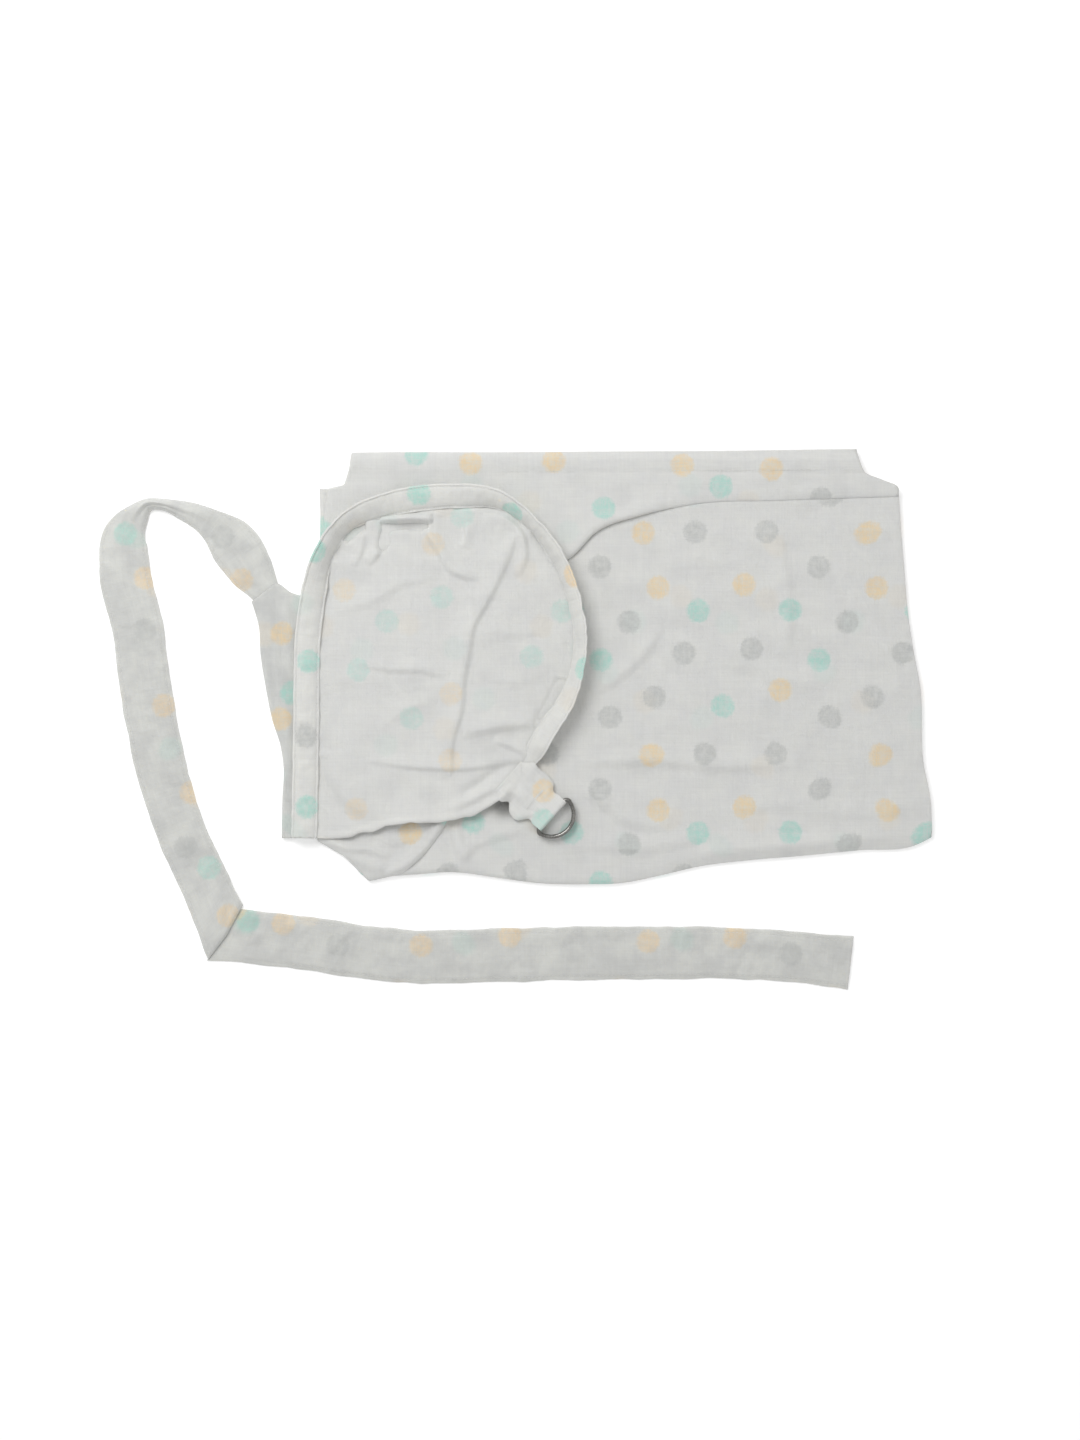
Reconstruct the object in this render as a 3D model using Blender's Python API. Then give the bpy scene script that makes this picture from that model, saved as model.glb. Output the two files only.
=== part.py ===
"""A muslin nursing cover, folded and laid flat: a boned neckline, a long neck strap and a tab with two D-rings.

Metres, +Z up. The cloth lies on Z = 0, and the origin is under the middle of the whole outline.
Lengths in the tables below are millimetres, and MM turns them into metres.
"""
import math

import bmesh
import bpy
from mathutils import Vector

MM = 0.001

# Driving dimensions
GAP = 0.3 * MM                       # running room between neighbouring pieces
STACK_HEIGHT = 6.5 * MM              # the folded cloth, lying loose
HEM_HEIGHT = 8.0 * MM                # the hemmed strip folded over the stack
FLAP_HEIGHT = 12.0 * MM              # the gathered bib inside the neckline
CASING_WIDTH = 20.0 * MM
CASING_THICKNESS = 5.0 * MM
CASING_WALL = 0.9 * MM
BONING_WIDTH = 10.0 * MM
BONING_THICKNESS = 1.2 * MM
BONING_LENGTH = 430.0 * MM
STRAP_WIDTH = 40.0 * MM
STRAP_THICKNESS = 2.4 * MM
TACK_WIDTH = 2.0 * MM                # a bar tack's dense zigzag
TACK_HEIGHT = 0.8 * MM
RING_WIRE = 3.0 * MM
RING_RADIUS = 17.0 * MM              # from the middle of the bar to the middle of the bow's wire
RING_CORNER = 3.5 * MM
TAB_WALL = 1.2 * MM                  # one ply of the ring tab
TAB_PLIES = 3.2 * MM                 # both plies lying together
TAB_ROOT_WIDTH = 41.0 * MM
TAB_LOOP_WIDTH = 26.0 * MM
TAB_LENGTH = 34.5 * MM               # from the tab's seam to the ring bars
TAB_ANGLE = math.radians(-41.9)      # the way the tab points, turned from +X
TAB_SEAM = Vector((2.3 * MM, -49.7 * MM, HEM_HEIGHT + GAP + TAB_PLIES / 2))

# The folded bundle's outline, anticlockwise from its lower left corner
BUNDLE_OUTLINE = [
    (-179.4, -91), (-158, -90.5), (-142.5, -97), (-107.8, -123.6), (-73, -119), (-50, -117.4), (-12, -122),
    (19, -126), (58, -126.7), (81, -126), (112, -120), (142.5, -113), (181, -108.2), (219.5, -105),
    (266, -100.5), (308, -97), (321, -90.5), (319.6, -62), (314, -31), (312, 23), (306.5, 53.5), (303, 77),
    (299, 123), (296.5, 154), (295, 177), (267, 193), (264, 208), (150, 207), (0, 205.5), (-125.5, 206.5),
    (-132, 180), (-150.5, 178), (-149.8, 130), (-162.7, 93), (-172, 97), (-181, 104.5),
    (-202.7, 91), (-195, 61), (-185, 15), (-178.6, -20), (-178, -35),
]

# The hemmed strip along the top, folded over the stack behind the neckline
HEM_STRIP = [
    (-146, 134), (20, 112), (45, 126), (62, 143), (97, 156), (140, 165), (201, 168), (291, 171),
    (264, 189), (262, 205.5), (150, 205), (0, 203.5), (-123, 204.5), (-130, 178), (-148, 176),
]

# The gathered bib that hangs inside the neckline
FLAP_OUTLINE = [
    (-148, -88), (-112, -84), (-78, -79), (-46, -76), (-24, -68), (-12, -59), (-4, -49), (3, -38),
    (9, -17), (28, 12), (36, 32), (41, 50), (41, 66), (38, 84), (32, 103), (23, 123), (12, 139), (-2, 152),
    (-16, 157), (-42, 156), (-63, 154), (-81, 150), (-101, 149), (-120, 144), (-128, 137), (-137, 119),
    (-141, 99), (-142, 83), (-146.5, 61), (-146.5, 15), (-147, -35),
]

# The neckline casing's middle line, with its lean from lying flat, in degrees
CASING_ROUTE = [
    (-161.7, -91, 2), (-160.5, -35, 2), (-159.8, 15, 2), (-159, 60, 4), (-154, 96, 22), (-146, 126, 46),
    (-131, 149, 50), (-105, 162, 30), (-74, 169, 16), (-42, 171, 24), (-13, 168, 50), (12, 151, 62),
    (31, 127, 62), (44, 96, 62), (50, 64, 62), (47, 35, 60), (38, 12, 50), (25, -7, 42), (14, -27, 34),
]

# The strap's middle line as it lies, with its width and height as shares of the flat strap's.
# It is pleated in at its root, bunches up where it twists over, and widens along its mitred turn.
STRAP_HANGING_RUN = [
    (-193.7, 100.6, 0.6, 1), (-203.5, 115, 0.88, 1), (-218, 136, 0.95, 1), (-238, 153, 0.55, 2.5),
    (-256, 161, 0.38, 3.3), (-272, 166, 0.23, 4.6), (-282, 166, 0.25, 4.6), (-293, 156, 0.55, 2.9),
    (-301, 142, 0.85, 1.3), (-302, 120, 0.975, 1), (-290, 66.6, 0.95, 1), (-283, 19.6, 0.95, 1),
    (-258, -87, 0.95, 1), (-234.4, -138, 0.975, 1), (-221.9, -166.3, 1.04, 1),
]
STRAP_LOWER_RUN = [
    (-221.9, -166.3, 1.04, 1), (-165.6, -172, 1.03, 1), (-120, -179, 1.03, 1), (-65.5, -183.6, 1.03, 1),
    (-21, -182, 1.03, 1), (65, -180.6, 1.03, 1), (154, -180, 1, 1), (199, -182, 0.98, 1),
    (259, -187.8, 1.03, 1),
]


def clear_scene():
    """Empties the scene that the script starts in."""
    for old_object in list(bpy.data.objects):
        bpy.data.objects.remove(old_object, do_unlink=True)


def make_material(name, colour, roughness, metallic=0.0):
    """A plain Principled material."""
    material = bpy.data.materials.new(name)
    material.use_nodes = True
    shader = material.node_tree.nodes["Principled BSDF"]
    shader.inputs["Base Color"].default_value = (*colour, 1.0)
    shader.inputs["Roughness"].default_value = roughness
    shader.inputs["Metallic"].default_value = metallic
    return material


def add_object(name, mesh, material, parent=None):
    """Puts a mesh into the scene as a named object."""
    new_object = bpy.data.objects.new(name, mesh)
    bpy.context.scene.collection.objects.link(new_object)
    if material is not None:
        mesh.materials.append(material)
    if parent is not None:
        new_object.parent = parent
    return new_object


def mesh_from_bmesh(name, bm, smooth_angle=40):
    """Turns a bmesh into a mesh with its faces pointing out and its round stretches smooth."""
    bmesh.ops.recalc_face_normals(bm, faces=bm.faces)
    mesh = bpy.data.meshes.new(name)
    bm.to_mesh(mesh)
    bm.free()
    mesh.shade_smooth()
    mesh.set_sharp_from_angle(angle=math.radians(smooth_angle))
    return mesh


def smooth_curve(points, step):
    """Catmull-Rom curve through the points, with a station about every step, in the points' own numbers."""
    rows = [Vector(point) for point in points]
    rows = [2 * rows[0] - rows[1]] + rows + [2 * rows[-1] - rows[-2]]
    stations = []
    for before, start, end, after in zip(rows, rows[1:], rows[2:], rows[3:]):
        count = max(1, round((end - start).to_2d().length / step))
        for index in range(count):
            t = index / count
            stations.append(0.5 * (2 * start + (end - before) * t
                                   + (2 * before - 5 * start + 4 * end - after) * t ** 2
                                   + (3 * start - before - 3 * end + after) * t ** 3))
    stations.append(rows[-2])
    return stations


def side_directions(centres):
    """The level direction to the left of travel at each centre, from its neighbours."""
    sides = []
    for index, centre in enumerate(centres):
        ahead = centres[min(index + 1, len(centres) - 1)]
        behind = centres[max(index - 1, 0)]
        into = (centre - behind).to_2d()
        out_of = (ahead - centre).to_2d()
        heading = (into.normalized() if into.length else out_of.normalized())
        heading += (out_of.normalized() if out_of.length else into.normalized())
        heading.normalize()
        sides.append(Vector((-heading.y, heading.x, 0)))
    return sides


def pillow_slab(bm, outline, low, high, edge):
    """Adds a slab over an outline, with its upper edge rolled over as folded cloth is."""
    corners = [Vector((x * MM, y * MM)) for x, y in outline]
    count = len(corners)
    inward = []
    for index, corner in enumerate(corners):
        into = (corner - corners[index - 1]).normalized()
        out_of = (corners[(index + 1) % count] - corner).normalized()
        along = (into + out_of).normalized()
        inward.append(Vector((-along.y, along.x)))
    rolled = min(edge, (high - low) * 0.6)
    steps = [(0.0, low), (0.0, high - rolled)]
    steps += [(edge * (1 - math.cos(turn)), high - rolled * (1 - math.sin(turn)))
              for turn in (math.radians(30), math.radians(60), math.radians(90))]
    rings = []
    for inset, height in steps:
        rings.append([bm.verts.new((*(corner + inset * way), height)) for corner, way in zip(corners, inward)])
    for lower, upper in zip(rings, rings[1:]):
        for index in range(count):
            after = (index + 1) % count
            bm.faces.new((lower[index], lower[after], upper[after], upper[index]))
    bm.faces.new(list(reversed(rings[0])))
    bm.faces.new(rings[-1])


def slab_object(name, outline, low, high, edge, material=None):
    """A pillow slab as an object of its own."""
    bm = bmesh.new()
    pillow_slab(bm, outline, low, high, edge)
    return add_object(name, mesh_from_bmesh(name, bm), material)


def hide_helper(helper):
    """Marks an object as a tool that only shapes another one."""
    helper.hide_render = True
    helper.display_type = "WIRE"


def add_boolean(target, tool, operation):
    """Joins or cuts the target with a helper object."""
    hide_helper(tool)
    modifier = target.modifiers.new(tool.name, "BOOLEAN")
    modifier.operation = operation
    modifier.object = tool


def sweep(bm, frames, sections, bore_sections=None):
    """Sweeps a section along frames of (centre, across, up), with a bore through it if one is given."""
    def place(section_list):
        return [[bm.verts.new(centre + across * a + up * b) for a, b in section]
                for (centre, across, up), section in zip(frames, section_list)]

    def skin(rings):
        for near, far in zip(rings, rings[1:]):
            for index in range(len(near)):
                after = (index + 1) % len(near)
                bm.faces.new((near[index], near[after], far[after], far[index]))

    outer = place(sections)
    skin(outer)
    if bore_sections is None:
        bm.faces.new(outer[0])
        bm.faces.new(outer[-1])
        return
    bore = place(bore_sections)
    skin(bore)
    for ends in ((outer[0], bore[0]), (outer[-1], bore[-1])):
        rim, mouth = ends
        for index in range(len(rim)):
            after = (index + 1) % len(rim)
            bm.faces.new((rim[index], rim[after], mouth[after], mouth[index]))


def flat_oval(width, thickness, sides=12):
    """A flattened oval section: long flat faces and round edges."""
    points = []
    for index in range(sides):
        turn = 2 * math.pi * index / sides
        a = math.copysign(abs(math.cos(turn)) ** 0.6, math.cos(turn)) * width / 2
        b = math.copysign(abs(math.sin(turn)) ** 0.8, math.sin(turn)) * thickness / 2
        points.append((a, b))
    return points


def ribbon_section(width, thickness):
    """A ribbon's section, with its edges a little rounded."""
    half, rise, ease = width / 2, thickness / 2, thickness * 0.3
    return [(-half, -rise + ease), (-half + ease, -rise), (half - ease, -rise), (half, -rise + ease),
            (half, rise - ease), (half - ease, rise), (-half + ease, rise), (-half, rise - ease)]


def casing_frames():
    """Frames along the neckline casing, leaning out from its foot on the cloth."""
    stations = smooth_curve(CASING_ROUTE, 8)
    sides = side_directions([Vector((x, y, 0)) for x, y, _ in stations])
    frames = []
    for (x, y, lean_degrees), outward in zip(stations, sides):
        lean = math.radians(lean_degrees)
        rise = (CASING_WIDTH * math.sin(lean) + CASING_THICKNESS * math.cos(lean)) / 2
        centre = Vector((x * MM, y * MM, HEM_HEIGHT + GAP + rise))
        across = outward * math.cos(lean) + Vector((0, 0, math.sin(lean)))
        up = Vector((0, 0, math.cos(lean))) - outward * math.sin(lean)
        frames.append((centre, across, up))
    return frames


def build_cover_panel(cloth):
    """The panel: one cloth, hemmed all round, folded into a stack with its bib lying on top."""
    panel = slab_object("cover_panel", BUNDLE_OUTLINE, 0.0, STACK_HEIGHT, 3 * MM, cloth)
    hem = slab_object("hem_strip_shape", HEM_STRIP, 2 * MM, HEM_HEIGHT, 2 * MM)
    flap = slab_object("flap_shape", FLAP_OUTLINE, 3 * MM, FLAP_HEIGHT, 4 * MM)
    add_boolean(panel, hem, "UNION")
    add_boolean(panel, flap, "UNION")


def build_neckline(cloth, plastic):
    """The stay-open neckline: a sewn channel and the boning that springs it open."""
    frames = casing_frames()
    bm = bmesh.new()
    outer = flat_oval(CASING_WIDTH, CASING_THICKNESS)
    bore = flat_oval(CASING_WIDTH - 2 * CASING_WALL, CASING_THICKNESS - 2 * CASING_WALL)
    sweep(bm, frames, [outer] * len(frames), [bore] * len(frames))
    add_object("neckline_casing", mesh_from_bmesh("neckline_casing", bm), cloth)

    inside = []
    travelled = 0.0
    last_centre = frames[-1][0]
    for frame in reversed(frames[:-1]):
        travelled += (frame[0] - last_centre).length
        last_centre = frame[0]
        if travelled <= BONING_LENGTH:
            inside.append(frame)
    bm = bmesh.new()
    strip = ribbon_section(BONING_WIDTH, BONING_THICKNESS)
    sweep(bm, inside, [strip] * len(inside))
    add_object("neckline_boning", mesh_from_bmesh("neckline_boning", bm), plastic)


def build_strap(cloth, thread):
    """The neck strap: a sewn tube laid flat, with a twist, a mitred turn and a plain square end."""
    stations = smooth_curve(STRAP_HANGING_RUN, 12)[:-1] + smooth_curve(STRAP_LOWER_RUN, 20)
    centres = [Vector((x * MM, y * MM, height * STRAP_THICKNESS / 2)) for x, y, _, height in stations]
    up = Vector((0, 0, 1))
    frames = [(centre, side, up) for centre, side in zip(centres, side_directions(centres))]
    sections = [ribbon_section(width * STRAP_WIDTH, height * STRAP_THICKNESS) for _, _, width, height in stations]
    bm = bmesh.new()
    sweep(bm, frames, sections)
    add_object("neck_strap", mesh_from_bmesh("neck_strap", bm), cloth)

    root_centre, root_side, _ = frames[0]
    backwards = Vector((root_side.y, -root_side.x, 0)) * -1
    near = root_centre + backwards * GAP
    bm = bmesh.new()
    tack = ribbon_section(STRAP_WIDTH / 2, STRAP_THICKNESS - 2 * GAP)
    ends = [(near, root_side, up), (near + backwards * TACK_WIDTH, root_side, up)]
    sweep(bm, ends, [tack, tack])
    add_object("strap_bartack", mesh_from_bmesh("strap_bartack", bm), thread)


def ring_bar_places():
    """The lower and upper ring bars in the tab's own frame, whose origin is on its seam."""
    lower_height = TAB_WALL + GAP + RING_WIRE / 2 - TAB_PLIES / 2
    lower = Vector((TAB_LENGTH, 0, lower_height))
    upper = lower + Vector((0, 0, RING_WIRE + 0.4 * MM))
    return lower, upper


def loop_profile(lower, upper, room):
    """Outline, in the tab's length and height, of the space the two bars sweep inside the loop."""
    stack = upper.z - lower.z
    points = [(lower.x + room * math.sin(turn), lower.z - room * math.cos(turn))
              for turn in (math.radians(step) for step in (0, 30, 60, 90))]
    points += [(upper.x + room * math.cos(turn), upper.z + room * math.sin(turn))
               for turn in (math.radians(step) for step in (0, 30, 60))]
    points += [(lower.x + (stack + room) * math.cos(turn), lower.z + (stack + room) * math.sin(turn))
               for turn in (math.radians(step) for step in (90, 112, 135, 158, 180))]
    points += [(lower.x - stack - room * math.cos(turn), lower.z - room * math.sin(turn))
               for turn in (math.radians(step) for step in (30, 60, 90))]
    return points


def tab_half_width(distance):
    """Half the tab's width: it is gathered in towards the rings."""
    share = min(max(distance / (TAB_LENGTH * 0.7), 0.0), 1.0)
    ease = share * share * (3 - 2 * share)
    return (TAB_ROOT_WIDTH + (TAB_LOOP_WIDTH - TAB_ROOT_WIDTH) * ease) / 2


def extrude_profile(name, profile, half_width, material, parent):
    """A profile in length and height, extruded across to the half width that its length gives."""
    bm = bmesh.new()
    near = [bm.verts.new((x, -half_width(x), z)) for x, z in profile]
    far = [bm.verts.new((x, half_width(x), z)) for x, z in profile]
    for index in range(len(profile)):
        after = (index + 1) % len(profile)
        bm.faces.new((near[index], near[after], far[after], far[index]))
    caps = [bm.faces.new(near), bm.faces.new(far)]
    bmesh.ops.triangulate(bm, faces=caps, ngon_method="EAR_CLIP")
    return add_object(name, mesh_from_bmesh(name, bm), material, parent)


def build_ring_tab(cloth, thread):
    """The tab: a folded strip whose loop holds both ring bars. Returns its pivot on the seam."""
    pivot = bpy.data.objects.new("tab_pivot", None)
    bpy.context.scene.collection.objects.link(pivot)
    pivot.location = TAB_SEAM
    pivot.rotation_euler = (0, 0, TAB_ANGLE)

    lower, upper = ring_bar_places()
    room = RING_WIRE / 2 + GAP
    bore = loop_profile(lower, upper, room)
    skin = loop_profile(lower, upper, room + TAB_WALL)
    ply_top = TAB_PLIES / 2
    over_the_bars = [point for point in skin if point[1] > ply_top]
    under_the_bars = [point for point in skin if point[1] <= ply_top and point[0] >= lower.x]
    tail_steps = [TAB_LENGTH * share for share in (0.0, 0.15, 0.3, 0.45, 0.6)]
    top_tail = [(distance, ply_top) for distance in reversed(tail_steps)]
    bottom_tail = [(distance, -ply_top) for distance in tail_steps]
    profile = bottom_tail + under_the_bars + over_the_bars + top_tail
    tab = extrude_profile("ring_tab", profile, tab_half_width, cloth, pivot)
    cutter = extrude_profile("ring_loop_shape", bore, lambda distance: TAB_ROOT_WIDTH, None, pivot)
    add_boolean(tab, cutter, "DIFFERENCE")

    tack_half = TAB_LOOP_WIDTH / 2 - 2 * MM
    tack_start = TAB_LENGTH * 0.5
    tack_low = ply_top + GAP
    tack = [(tack_start, tack_low), (tack_start + TACK_WIDTH, tack_low),
            (tack_start + TACK_WIDTH, tack_low + TACK_HEIGHT), (tack_start, tack_low + TACK_HEIGHT)]
    extrude_profile("ring_loop_bartack", tack, lambda distance: tack_half, thread, pivot)

    seam_end = -ply_top - GAP
    seam_top = -ply_top + TACK_HEIGHT
    seam = [(seam_end - TACK_WIDTH, -ply_top), (seam_end, -ply_top), (seam_end, seam_top),
            (seam_end - TACK_WIDTH, seam_top)]
    seam_half = TAB_ROOT_WIDTH / 2 - 8 * MM
    extrude_profile("tab_bartack", seam, lambda distance: seam_half, thread, pivot)
    return pivot


def ring_route():
    """The D-ring's wire in its own plane: a bar along Y and a half-round bow towards +X."""
    points = []
    for step in range(5):
        turn = math.pi + math.pi / 2 * step / 4
        points.append((RING_CORNER * (1 + math.cos(turn)), -RING_RADIUS + RING_CORNER * (1 + math.sin(turn))))
    for step in range(1, 24):
        turn = -math.pi / 2 + math.pi * step / 24
        if abs(RING_RADIUS * math.sin(turn)) < RING_RADIUS - 0.4 * MM:
            points.append((RING_RADIUS * math.cos(turn), RING_RADIUS * math.sin(turn)))
    for step in range(5):
        turn = math.pi / 2 + math.pi / 2 * step / 4
        points.append((RING_CORNER * (1 + math.cos(turn)), RING_RADIUS - RING_CORNER * (1 - math.sin(turn))))
    return points


def build_ring(name, place, metal, pivot):
    """A D-ring of round wire, with its origin in the middle of its bar."""
    curve = bpy.data.curves.new(name, "CURVE")
    curve.dimensions = "3D"
    curve.bevel_depth = RING_WIRE / 2
    curve.bevel_resolution = 3
    route = ring_route()
    spline = curve.splines.new("POLY")
    spline.points.add(len(route) - 1)
    for point, (x, y) in zip(spline.points, route):
        point.co = (x, y, 0, 1)
    spline.use_cyclic_u = True
    ring = bpy.data.objects.new(name, curve)
    bpy.context.scene.collection.objects.link(ring)
    curve.materials.append(metal)
    ring.parent = pivot
    ring.location = place


def main():
    clear_scene()
    cloth = make_material("muslin", (0.80, 0.80, 0.78), 0.9)
    thread = make_material("thread", (0.86, 0.86, 0.84), 0.7)
    plastic = make_material("boning_plastic", (0.88, 0.88, 0.86), 0.4)
    metal = make_material("nickel", (0.62, 0.61, 0.58), 0.25, metallic=1.0)
    build_cover_panel(cloth)
    build_neckline(cloth, plastic)
    build_strap(cloth, thread)
    pivot = build_ring_tab(cloth, thread)
    lower, upper = ring_bar_places()
    build_ring("d_ring_lower", lower, metal, pivot)
    build_ring("d_ring_upper", upper, metal, pivot)


main()
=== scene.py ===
"""A folded muslin nursing cover: cloth, stitching, rings and finishes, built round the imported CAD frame.

Lengths in the tables are millimetres in the frame's own axes; MM turns them into metres.
"""
import math
import bmesh
import bpy
import numpy as np
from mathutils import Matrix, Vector


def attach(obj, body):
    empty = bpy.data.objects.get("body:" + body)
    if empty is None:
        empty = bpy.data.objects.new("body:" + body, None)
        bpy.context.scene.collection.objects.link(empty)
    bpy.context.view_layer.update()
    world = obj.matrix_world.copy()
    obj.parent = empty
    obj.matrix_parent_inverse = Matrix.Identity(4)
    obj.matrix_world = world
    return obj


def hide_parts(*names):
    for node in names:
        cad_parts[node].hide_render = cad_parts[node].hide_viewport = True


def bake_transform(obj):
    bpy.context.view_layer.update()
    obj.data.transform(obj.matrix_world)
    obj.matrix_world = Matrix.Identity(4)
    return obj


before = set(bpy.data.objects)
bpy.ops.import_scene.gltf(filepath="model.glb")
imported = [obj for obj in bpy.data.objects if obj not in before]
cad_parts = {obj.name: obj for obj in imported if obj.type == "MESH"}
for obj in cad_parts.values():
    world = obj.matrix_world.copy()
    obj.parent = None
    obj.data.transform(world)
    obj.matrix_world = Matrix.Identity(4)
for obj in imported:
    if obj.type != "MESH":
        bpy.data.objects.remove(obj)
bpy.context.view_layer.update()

MM = 0.001
TEAL, PEACH, GREY = 0, 1, 2
FAR = 99.0                      # a distance from any dot that paints nothing
PLY = 0.75                      # thickness of double muslin, lying loose
HEM_Z = 8.3                     # the level the casing and the tab rest on

# ---------------------------------------------------------------- tables, repeated from the part's source
# (two rows of the strap's hanging run are moved by a millimetre or two)
# Casing: x, y, lean in degrees.  Strap: x, y, share of its width, and thickness as a number of straps.
CASING_ROUTE = [
    (-161.7, -91, 2), (-160.5, -35, 2), (-159.8, 15, 2), (-159, 60, 4), (-154, 96, 22), (-146, 126, 46),
    (-131, 149, 50), (-105, 162, 30), (-74, 169, 16), (-42, 171, 24), (-13, 168, 50), (12, 151, 62),
    (31, 127, 62), (44, 96, 62), (50, 64, 62), (47, 35, 60), (38, 12, 50), (25, -7, 42), (14, -27, 34),
]
STRAP_HANGING_RUN = [
    (-193.7, 100.6, 0.6, 1), (-203.5, 115, 0.88, 1), (-218, 136, 0.95, 1), (-238, 153, 0.55, 2.5),
    (-256, 161, 0.38, 3.3), (-272, 166, 0.23, 4.6), (-282, 166, 0.25, 4.6), (-293, 156, 0.55, 2.9),
    (-301, 142, 0.85, 1.3), (-302, 120, 0.975, 1), (-290.5, 66.6, 0.98, 1), (-284.5, 19.6, 1.0, 1),
    (-258, -87, 0.95, 1), (-234.4, -138, 0.975, 1), (-221.9, -166.3, 1.04, 1),
]
STRAP_LOWER_RUN = [
    (-221.9, -166.3, 1.04, 1), (-165.6, -172, 1.03, 1), (-120, -179, 1.03, 1), (-65.5, -183.6, 1.03, 1),
    (-21, -182, 1.03, 1), (65, -180.6, 1.03, 1), (154, -180, 1, 1), (199, -182, 0.98, 1),
    (259, -187.8, 1.03, 1),
]
STRAP_WIDTH, STRAP_THICK = 40.0, 2.4
TAB_SEAM = (2.3, -49.7, 9.9)
TAB_TURN = math.radians(-41.9)
TAB_LENGTH, TAB_ROOT, TAB_LOOP = 34.5, 41.0, 26.0
RING_WIRE, RING_RADIUS, RING_CORNER = 3.0, 17.0, 3.5
RING_LOW, RING_HIGH = 11.3, 14.7      # heights of the two bars

# The print's repeat, and the dots that stand where folds break the repeat
PRINT_TILE = (168.0, 171.0)
PRINT = [
    (98.6, 143.6, PEACH), (138.6, 144.4, GREY), (193.3, 144.4, GREY), (233.3, 117.4, GREY),
    (110.1, 101.3, PEACH), (176.3, 103.6, PEACH), (140.9, 83.5, TEAL), (211.8, 84.3, TEAL),
    (255.6, 75.1, GREY), (130.1, 51.2, GREY), (181.7, 54.3, GREY), (234.1, 45.8, TEAL),
    (107, 17.3, GREY), (204.1, 22.7, PEACH), (159.4, 10.4, TEAL), (241, 1.9, GREY),
]
STRIP_DOTS = [
    (-75, 205, TEAL), (-34, 198, PEACH), (29, 197.5, PEACH), (128, 196, PEACH), (198, 192, PEACH),
    (159, 179, TEAL), (68.5, 163, TEAL), (236, 171, GREY), (-149, 144, TEAL),
]
BIB_DOTS = [
    (-63, 134, PEACH), (-132, 99, PEACH), (-56.5, 95, TEAL), (-97, 76, TEAL), (-121, 39, TEAL),
    (14, 48, TEAL), (36, 82, TEAL), (-50, 19, PEACH), (-80, 0, TEAL), (-50, -30, PEACH),
    (-123, -69, PEACH), (-41, 155, TEAL),
]
CASING_DOTS = [
    (-74, 172, TEAL), (-1.5, 157, TEAL), (43, 108, PEACH), (-157, 45.5, TEAL), (-153, 128, TEAL),
    (-160, -12, GREY), (53, 40, TEAL), (-158, -66, TEAL),
]
YOKE_DOTS = [(-173, 21, TEAL), (-180, 67, PEACH), (-181, 0, PEACH), (-150, 148, TEAL)]
STRAP_DOTS = [
    (-209.6, 107.5, PEACH), (-225, 142, GREY), (-299, 143, TEAL), (-284, 109, PEACH), (-286, 69, GREY),
    (-271, 10, PEACH), (-253, -99, GREY), (-221, -150.5, PEACH), (-206.5, -154, TEAL),
    (-178, -157, PEACH), (-136, -174, GREY), (-71, -174, PEACH), (-4, -167, PEACH), (102, -170, PEACH),
    (169, -167.5, PEACH), (214, -181, GREY), (-249, -55, PEACH), (-236, -115, TEAL),
]
CORNER_DOTS = [(-80, -87, PEACH), (-33, -78, TEAL)]
TAB_DOTS = [(21, -53.5, PEACH), (20.4, -76.6, TEAL)]


# ---------------------------------------------------------------- noise and curves
def hashed(ix, iy, seed):
    n = (ix * 374761393 + iy * 668265263 + seed * 974711) & 0x7FFFFFFF
    n = ((n ^ (n >> 13)) * 1274126177) & 0x7FFFFFFF
    return (n ^ (n >> 16)) & 0xFFFF


def noise(x, y, size, seed):
    """Smooth gradient noise, about -1 to 1, with features of the given size."""
    u, v = np.asarray(x) / size + 31.7, np.asarray(y) / size + 17.3
    ix, iy = np.floor(u).astype(np.int64), np.floor(v).astype(np.int64)
    fx, fy = u - ix, v - iy
    total = 0.0
    for dx in (0, 1):
        for dy in (0, 1):
            turn = hashed(ix + dx, iy + dy, seed) * (2 * math.pi / 65536)
            wx, wy = 1 - np.abs(fx - dx), 1 - np.abs(fy - dy)
            share = wx ** 3 * (wx * (wx * 6 - 15) + 10) * wy ** 3 * (wy * (wy * 6 - 15) + 10)
            total = total + (np.cos(turn) * (fx - dx) + np.sin(turn) * (fy - dy)) * share
    return total * 1.45


def ease(value, low, high):
    """0 below low, 1 above high, and smooth between."""
    t = np.clip((value - low) / (high - low), 0, 1)
    return t * t * (3 - 2 * t)


def bell(value, width):
    """1 at zero, falling away over the width on both sides."""
    return np.exp(-(value / width) ** 2)


def rounded(distance, radius):
    """The rise of a quarter-round edge: 0 at the edge, and 1 from the radius on."""
    return np.sqrt(1 - (1 - np.clip(distance / radius, 0, 1)) ** 2)


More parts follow.
